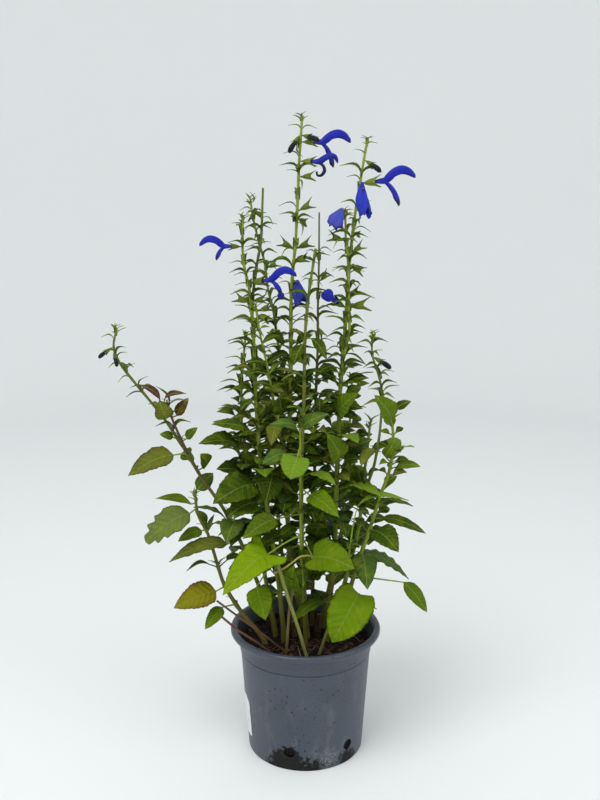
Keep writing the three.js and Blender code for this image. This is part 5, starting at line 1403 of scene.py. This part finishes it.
def grow_bud(name, mouth, along, up, scale):
    """A closed bud, nearly black but for a green foot, with six faint ribs."""
    skin = Skin()
    course = Course(BUD, mouth - along * SEAT_DEPTH * scale, along, up, scale)
    around = np.linspace(0, 2 * math.pi, 18, endpoint=False)
    ribbed = 1 + 0.05 * np.cos(6 * around)
    rings, tint = [], []
    for i in range(23):
        place, lift, wide, high = course.at(i / 22)
        rings.append(ring_about(place, lift, course.right, around, high * ribbed, wide))
        tint.append([blend(paint(9, 9, 16), paint(70, 92, 50), max(0.0, 1 - i / 8))] * len(around))
    skin.tube(rings, PETAL, tint)
    return skin.piece(name + "_petals", "bud", name)


print("bloom growers ready")

# %% [markdown]
# ## Growing the plant
# Every stem node becomes one skin: its stems, calyces, large leaves, bracts and leaf pairs. Small leaves that
# sprout in the leaf axils are added here only; they are too small to matter to the solids.

# %% Calyces first, then blooms and buds in their mouths
def direction(angle, lean):
    """The way a sprig points, from its angle in the front view and its lean to the front, in degrees."""
    a, b = math.radians(angle), math.radians(lean)
    return np.array([math.cos(a) * math.cos(b), -math.sin(b), math.sin(a) * math.cos(b)])


def square_up(along):
    """The side of a sprig that looks up, or inwards where it stands upright."""
    hint = np.array([-1.0 if along[0] > 0 else 1.0, -0.4, 0.0]) if abs(along[2]) > 0.92 else UPRIGHT
    return unit(hint - along * np.dot(hint, along))


# Shift to the right and up from the calyx, then length, width and tone.
WILTED = {
    "bloom_right_hanging": (0, 8, 33, 13, paint(30, 46, 172)),
    "bloom_middle_hanging": (4, 3, 25, 15, paint(52, 62, 168)),
    "bloom_right_centre": (-1, 11, 19, 15, paint(66, 74, 170)),
}
MOUTH = 13.55
SKINS = {node_name: Skin() for node_name in TREES}
KNOTS = {row[0]: [] for row in STEMS}
seats = {}
buds = 0


def skin_of(stem):
    return SKINS[node_of(stem)]


for stem, height, kind, angle, lean, scale in SPRIGS:
    KNOTS[stem].append(height)
    if kind not in ("calyx", "bud"):
        continue
    root, along = stem_point(stem, height), direction(angle, lean)
    up = square_up(along)
    tone = np.array(paint(104, 120, 30)) * (0.7 + 0.6 * chance(height, angle))
    tone[3] = 1
    rings = grow_calyx(skin_of(stem), root, along, up, scale, tone)
    add_down(skin_of(stem), rings, 26, 0.8, STEM, paint(170, 176, 120), int(height * 7 + angle))
    mouth = root + along * MOUTH * scale
    if kind == "bud":
        buds += 1
        grow_bud(f"bud_{stem}_{buds}", mouth, along, up, scale)
    else:
        seats[(stem, height)] = (mouth, along, up)
for name, stem, height, scale, state in BLOOMS:
    mouth, along, up = seats[(stem, height)]
    if state == "wilted":
        right, high, length, width, tone = WILTED[name]
        grow_wilted(name, mouth - along * 2 + [right, 0, high], along, length, width, tone, len(name))
    elif state == "rolled":
        grow_rolled(name, mouth - along * 3, mouth + along * 14 + up * 1.5, 6.6, paint(18, 28, 150))
    else:
        grow_bloom(name, mouth, along, up, scale, state == "curled")
print("buds:", buds, "blooms:", len(BLOOMS))

# %% Large leaves, bracts and leaf pairs
def tuft(skin, root, out, count, length, tone, seed):
    """A few small leaves from a leaf axil: two or three to one side, more than three all round."""
    for k in range(count):
        if count > 3:
            turn = 360 * k / count + 40 * chance(seed, k)
        else:
            turn = 90 * (chance(seed, k) - 0.5) + 60 * k - 30
        heading = unit(spun(out, UPRIGHT, turn) + UPRIGHT * (0.5 + 0.9 * chance(seed + 3, k)))
        reach = length * (0.6 + 0.7 * chance(seed + 5, k))
        hint = unit(UPRIGHT * 1.2 - out * 0.8)
        grow_leaf(skin, root, root, root + heading * reach, reach * 0.24, "lance", hint, tone, 4, seed + k)


def tone_by(number, *names):
    """One of the named leaf tones, by a number from 0 to 1."""
    return LEAF_TONES[names[int(number * len(names))]]


def out_from(first, pair, side, swing, seed):
    """The level direction of one leaf of a pair; each pair stands a quarter turn from the last."""
    angle = math.radians(first + 90 * pair + 180 * side + swing * (chance(seed, 2) - 0.5))
    return np.array([math.cos(angle), math.sin(angle), 0.0])


for row, (stem, height, base, tip, width, form, tilt, tone) in enumerate(LEAVES):
    KNOTS[stem].append(height)
    root, hint = stem_point(stem, height), np.array([0.0, -tilt, 1.0])
    base, tip, hint = as_packed(stem, root, np.array(base, float), np.array(tip, float), hint)
    columns = 12 if width > 18 else 8
    grow_leaf(skin_of(stem), root, base, tip, width, form, hint, LEAF_TONES[tone], columns, row)
    if width < 30:
        tuft(skin_of(stem), root, unit((tip - root) * [1, 1, 0]), 2, 13, LEAF_TONES["mid"], row * 3)
for row, (stem, height, kind, angle, lean, length) in enumerate(SPRIGS):
    if kind not in ("bract", "lance"):
        continue
    root, along = stem_point(stem, height), direction(angle, lean)
    base, tip, hint = as_packed(stem, root, root, root + along * (length + 1.2), square_up(along))
    width = 2.6 if kind == "bract" else length * 0.34
    tone = tone_by(chance(row, 2), "mid", "fresh", "dark", "olive")
    grow_leaf(skin_of(stem), root, base, tip, width, kind, hint, tone, 4, row)
for row, (stem, low, high, spacing, low_length, high_length, first) in enumerate(WHORLS):
    pairs = int((high - low) // spacing) + 1
    for i in range(pairs):
        height = low + spacing * i + 8 * (chance(row, i) - 0.5)
        KNOTS[stem].append(height)
        share = i / max(1, pairs - 1)
        for side in range(2):
            seed = row * 40 + i * 2 + side
            length = (low_length + (high_length - low_length) * share) * (0.82 + 0.36 * chance(seed, 1))
            droop = -0.25 + 0.6 * share + 0.3 * (chance(seed, 3) - 0.5)
            root, out = stem_point(stem, height), out_from(first, i, side, 30, seed)
            reach = length * (0.34 - 0.22 * share)
            base = root + out * reach + UPRIGHT * reach * (0.5 - 0.2 * share)
            tip = base + out * length * 0.92 + UPRIGHT * length * droop
            base, tip, hint = as_packed(stem, root, base, tip, UPRIGHT)
            form, wide, columns = ("small", 0.5, 8) if length > 33 else ("lance", 0.36, 6)
            tones = ("dark", "mid", "dark", "olive", "blue") if height < 300 else (
                "mid", "dark", "fresh", "mid", "olive")
            tone = tone_by(chance(seed, 9), *tones)
            grow_leaf(skin_of(stem), root, base, tip, length * wide, form, hint, tone, columns, seed)
            young = LEAF_TONES["fresh" if height > 380 else "mid"]
            tuft(skin_of(stem), root, out, 2, 12 + 4 * share, young, seed * 7)
print("moved leaves:", len(moved_leaves), "not found:", lost_leaves)

# %% [markdown]
# ## Small growth
# Between the large leaves the stems carry many small ones: narrow leaves lower down, and thin bracts that
# arch over like sickles among the calyces. They are grown in pairs along each stem, a quarter turn from pair
# to pair.

# %% Small pairs: stem, lowest and highest height, spacing, leaf lengths at the ends, width, first angle
SMALL_PAIRS = [
  ["tall_centre", 296, 440, 13, 39.6, 29.1, 0.40, 20], ["tall_centre", 446, 668, 24.4, 28.2, 18.2, 0.25, 10],
  ["tall_right", 286, 430, 12, 39.6, 29.1, 0.40, 50], ["tall_right", 436, 648, 17.1, 29.4, 18.2, 0.25, 0],
  ["right_centre", 446, 596, 13.4, 26.9, 15.4, 0.25, 30], ["left", 286, 404, 12, 37.4, 26.9, 0.40, 0],
  ["left", 404, 590, 13.4, 28.2, 16.8, 0.25, 10], ["left_crossing", 410, 610, 13.4, 26.9, 15.4, 0.25, 60],
  ["left_inner", 346, 504, 12.1, 29.9, 18, 0.30, 25], ["left_outer", 286, 404, 12, 35.2, 24.6, 0.40, 15],
  ["left_outer", 404, 468, 13.4, 28.2, 18.2, 0.25, 0], ["cut_centre", 300, 420, 15, 33, 24.6, 0.40, 0],
  ["cut_centre", 428, 558, 20.7, 25.6, 16.8, 0.25, 10], ["thin_cut", 300, 440, 13, 33, 24.6, 0.40, 30],
  ["thin_cut", 444, 560, 22, 24.3, 16.8, 0.25, 0], ["right_small", 392, 470, 12.2, 25.6, 14, 0.25, 20],
  ["lateral", 376, 478, 20.7, 21.8, 12.6, 0.25, 40], ["left_cut", 512, 602, 18.3, 17.9, 15.4, 0.25, 0],
  ["right_inner", 260, 370, 14, 30.8, 17.9, 0.40, 0], ["right_outer", 240, 378, 16, 30.8, 15.7, 0.40, 40],
  ["back_left", 250, 436, 14, 37.4, 20.2, 0.40, 10], ["back_right", 250, 416, 14, 37.4, 20.2, 0.40, 60],
  ["tall_centre", 312, 430, 17, 38, 28, 0.44, 5], ["tall_right", 300, 440, 17, 38, 28, 0.44, 35],
  ["left", 300, 420, 17, 36, 26, 0.44, 75], ["left_outer", 300, 400, 17, 34, 24, 0.44, 50],
  ["thin_cut", 310, 430, 19, 32, 24, 0.44, 10], ["left_inner", 352, 440, 17, 28, 22, 0.44, 60],
  ["tall_centre", 196, 300, 24, 46, 40, 0.50, 65], ["tall_right", 190, 290, 24, 46, 40, 0.50, 20],
  ["left", 184, 290, 22, 44, 38, 0.50, 45], ["left_outer", 184, 280, 24, 42, 36, 0.50, 80],
  ["back_left", 156, 250, 24, 44, 38, 0.50, 35], ["back_right", 156, 250, 24, 44, 38, 0.50, 80],
  ["cut_centre", 210, 300, 26, 42, 34, 0.50, 30], ["thin_cut", 180, 300, 26, 42, 34, 0.50, 70],
]
for row, (stem, low, high, spacing, long, short, wide, first) in enumerate(SMALL_PAIRS):
    count = int((high - low) / spacing) + 1
    form, columns = ("bract", 4) if wide < 0.28 else ("small", 6) if wide > 0.4 else ("lance", 4)
    for i in range(count):
        height = low + spacing * i + 5 * (chance(row + 60, i) - 0.5)
        KNOTS[stem].append(height)
        for side in range(2):
            seed = 3000 + row * 97 + i * 2 + side
            reach = (long + (short - long) * i / count) * (0.75 + 0.5 * chance(seed, 1))
            root, out = stem_point(stem, height), out_from(first, i, side, 40, seed)
            lifted = 0.1 + 0.4 * chance(seed, 3) - (0.25 if form == "small" else 0)
            base = root + (out * 0.25 + UPRIGHT * 0.12) * reach if wide > 0.3 else root
            tip = root + out * reach * 0.95 + UPRIGHT * reach * lifted
            tones = ("mid", "olive", "dark", "dark") if height > 300 else ("mid", "dark", "dark", "blue")
            roll = [1.4 * (chance(seed, 6) - 0.5), -1.2 * chance(seed, 7), 1.0]
            hint = np.array([0, -0.3, 1.0] if form == "bract" else roll)
            tone = tone_by(chance(seed, 4), *tones)
            grow_leaf(skin_of(stem), root, base, tip, reach * wide, form, hint, tone, columns, seed)
print("small pairs on", len(SMALL_PAIRS), "stretches")

# %% Two young purple leaves at the tip of the side twig
for base, tip in (([-152, -40, 412], [-173, -46, 430]), ([-148, -38, 412], [-124, -44, 420])):
    base, tip = np.array(base, float), np.array(tip, float)
    grow_leaf(skin_of("side"), base + [3, 0, -10], base, tip, 9, "lance", np.array([0.1, -0.7, 1.0]),
              paint(78, 42, 44), 6, int(tip[2]))
print("young purple leaves: 2")

# %% Long leaf stalks that come down to the crown: stem, radius, tone and points
STALKS = [
  ["young", 1.9, paint(132, 138, 72), [[-30, -58, 240], [-20, -60, 205], [-8, -56, 165], [2, -50, 124]]],
  ["left_short", 1.3, paint(88, 56, 50),
    [[-92, -42, 172], [-74, -50, 160], [-52, -52, 146], [-30, -46, 124]]],
  ["left_short", 1.2, paint(96, 64, 52),
    [[-98, -28, 184], [-70, -40, 168], [-44, -44, 150], [-18, -38, 124]]],
  ["low_right", 1.3, paint(124, 66, 62),
    [[58, -46, 200], [50, -44, 190], [40, -34, 178], [34, -24, 160]]],
  ["young", 1, paint(168, 160, 84),
    [[-34, -54, 226], [-20, -58, 236], [-6, -54, 246], [6, -46, 244], [10, -38, 226]]],
  ["cut_centre", 1.6, paint(104, 96, 52),
    [[-14, -44, 205], [-18, -50, 180], [-20, -52, 150], [-22, -46, 124]]],
  ["low_right", 1.7, paint(110, 116, 52),
    [[30, -40, 196], [28, -44, 170], [20, -46, 146], [14, -42, 124]]],
]
around = np.linspace(0, 2 * math.pi, 10, endpoint=False)
for stem, radius, tone, points in STALKS:
    path = np.array(points, float)
    steps = np.linspace(0, len(path) - 1, 21)
    places = np.stack([np.interp(steps, range(len(path)), path[:, k]) for k in range(3)], axis=1)
    places[1:-1] = (places[:-2] + places[1:-1] * 2 + places[2:]) / 4
    rings = []
    for i, place in enumerate(places):
        along = unit(places[min(20, i + 1)] - places[max(0, i - 1)])
        side = unit(np.cross(along, [0.1, 1, 0.1]))
        rings.append(ring_about(place, np.cross(side, along), side, around, radius, radius))
    skin_of(stem).tube(rings, STEM, tone)
print("long stalks:", len(STALKS))

# %% Stems last, once their knots are known, and one piece for each node
for name, _, _, _, points in STEMS:
    grow_stem(skin_of(name), name, KNOTS[name])
    if name not in CUT_STEMS:
        top = np.array(points[-1], float)
        for level, (drop, reach) in enumerate(((1, 8), (6, 10))):
            tuft(skin_of(name), top - [0, 0, drop], np.array([1.0, 0.0, 0.0]), 4, reach, LEAF_TONES["lime"],
                 int(top[0]) + 500 + level)
total = 0
for node_name, skin in SKINS.items():
    made = skin.piece(node_name.replace("_stem", "_shoot"), "leafy_stem", node_name)
    triangles = sum(len(face.vertices) - 2 for face in made.data.polygons)
    total += triangles
    print(node_name, triangles)
print("shoots:", len(SKINS), "triangles:", total)

# %% [markdown]
# ## Studio
# The floor curves up into a pale wall all round, so that every view has the same plain ground. A broad soft
# lamp hangs above and to the left in front, a weaker one fills from the right, and the sky gives the rest.
# The camera stands where it sees the pot's rim and foot at the angles that the whole model was measured by:
# a little above the pot, tipped down by eleven degrees.

# %% Floor, light and camera
FLOOR_RADIUS, FLOOR_CURVE, FLOOR_SPOKES = 1.9, 0.7, 96


def studio_floor():
    """A round sheet of paper that curves up into a wall."""
    material, tree, shader = finish("studio_paper", 0.9, Specular_IOR_Level=0.1)
    cloud = noise(tree, 2, 2)
    feed(shader, "Base Color", mix(cloud, paint(236, 239, 239), paint(236, 238, 238)))
    curve = [(FLOOR_RADIUS + FLOOR_CURVE * math.sin(a), FLOOR_CURVE - FLOOR_CURVE * math.cos(a))
             for a in np.linspace(0.1, math.pi / 2, 14)]
    profile = [(FLOOR_RADIUS, 0.0)] + curve + [(FLOOR_RADIUS + FLOOR_CURVE, 2.6)]
    points, faces = [], [list(range(FLOOR_SPOKES))]
    for level, (radius, height) in enumerate(profile):
        points += [(radius * math.cos(a), radius * math.sin(a), height)
                   for a in np.linspace(0, 2 * math.pi, FLOOR_SPOKES, endpoint=False)]
        if level:
            low = (level - 1) * FLOOR_SPOKES
            faces += [[low + (k + 1) % FLOOR_SPOKES, low + k, low + FLOOR_SPOKES + k,
                       low + FLOOR_SPOKES + (k + 1) % FLOOR_SPOKES] for k in range(FLOOR_SPOKES)]
    mesh = bpy.data.meshes.new("studio")
    mesh.from_pydata(points, [], faces)
    mesh.materials.append(material)
    mesh.polygons.foreach_set("use_smooth", [True] * len(mesh.polygons))
    floor = bpy.data.objects.new("studio", mesh)
    bpy.context.scene.collection.objects.link(floor)
    floor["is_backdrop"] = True


def lamp(name, place, target, size, power):
    """A round soft lamp that looks at a target."""
    data = bpy.data.lights.new(name, "AREA")
    data.shape = "DISK"
    data.size = size
    data.energy = power
    made = bpy.data.objects.new(name, data)
    made.location = place
    made.rotation_euler = (Vector(target) - Vector(place)).to_track_quat("-Z", "Y").to_euler()
    bpy.context.scene.collection.objects.link(made)


studio_floor()
lamp("key", (-0.7, -1.0, 2.2), (0, 0, 0.3), 1.4, 27)
lamp("fill", (1.5, -1.0, 1.2), (0, 0, 0.3), 1.4, 7)
world = bpy.data.worlds.new("soft_sky")
world.use_nodes = True
sky = world.node_tree.nodes["Background"].inputs
sky["Color"].default_value = (0.97, 0.99, 1.0, 1)
sky["Strength"].default_value = 0.7
bpy.context.scene.world = world
bpy.context.scene.view_settings.view_transform = "Standard"

camera = bpy.data.objects.new("camera", bpy.data.cameras.new("camera"))
camera.data.lens = 40.5
camera.data.sensor_width = 36
camera.data.sensor_fit = "AUTO"
camera.location = (-0.0062, -0.959, 0.595)
camera.rotation_euler = (math.radians(90 - 11.24), 0, 0)
bpy.context.scene.collection.objects.link(camera)
bpy.context.scene.camera = camera

low, high = (list(corner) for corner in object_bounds())
print("visual box:", low, high)
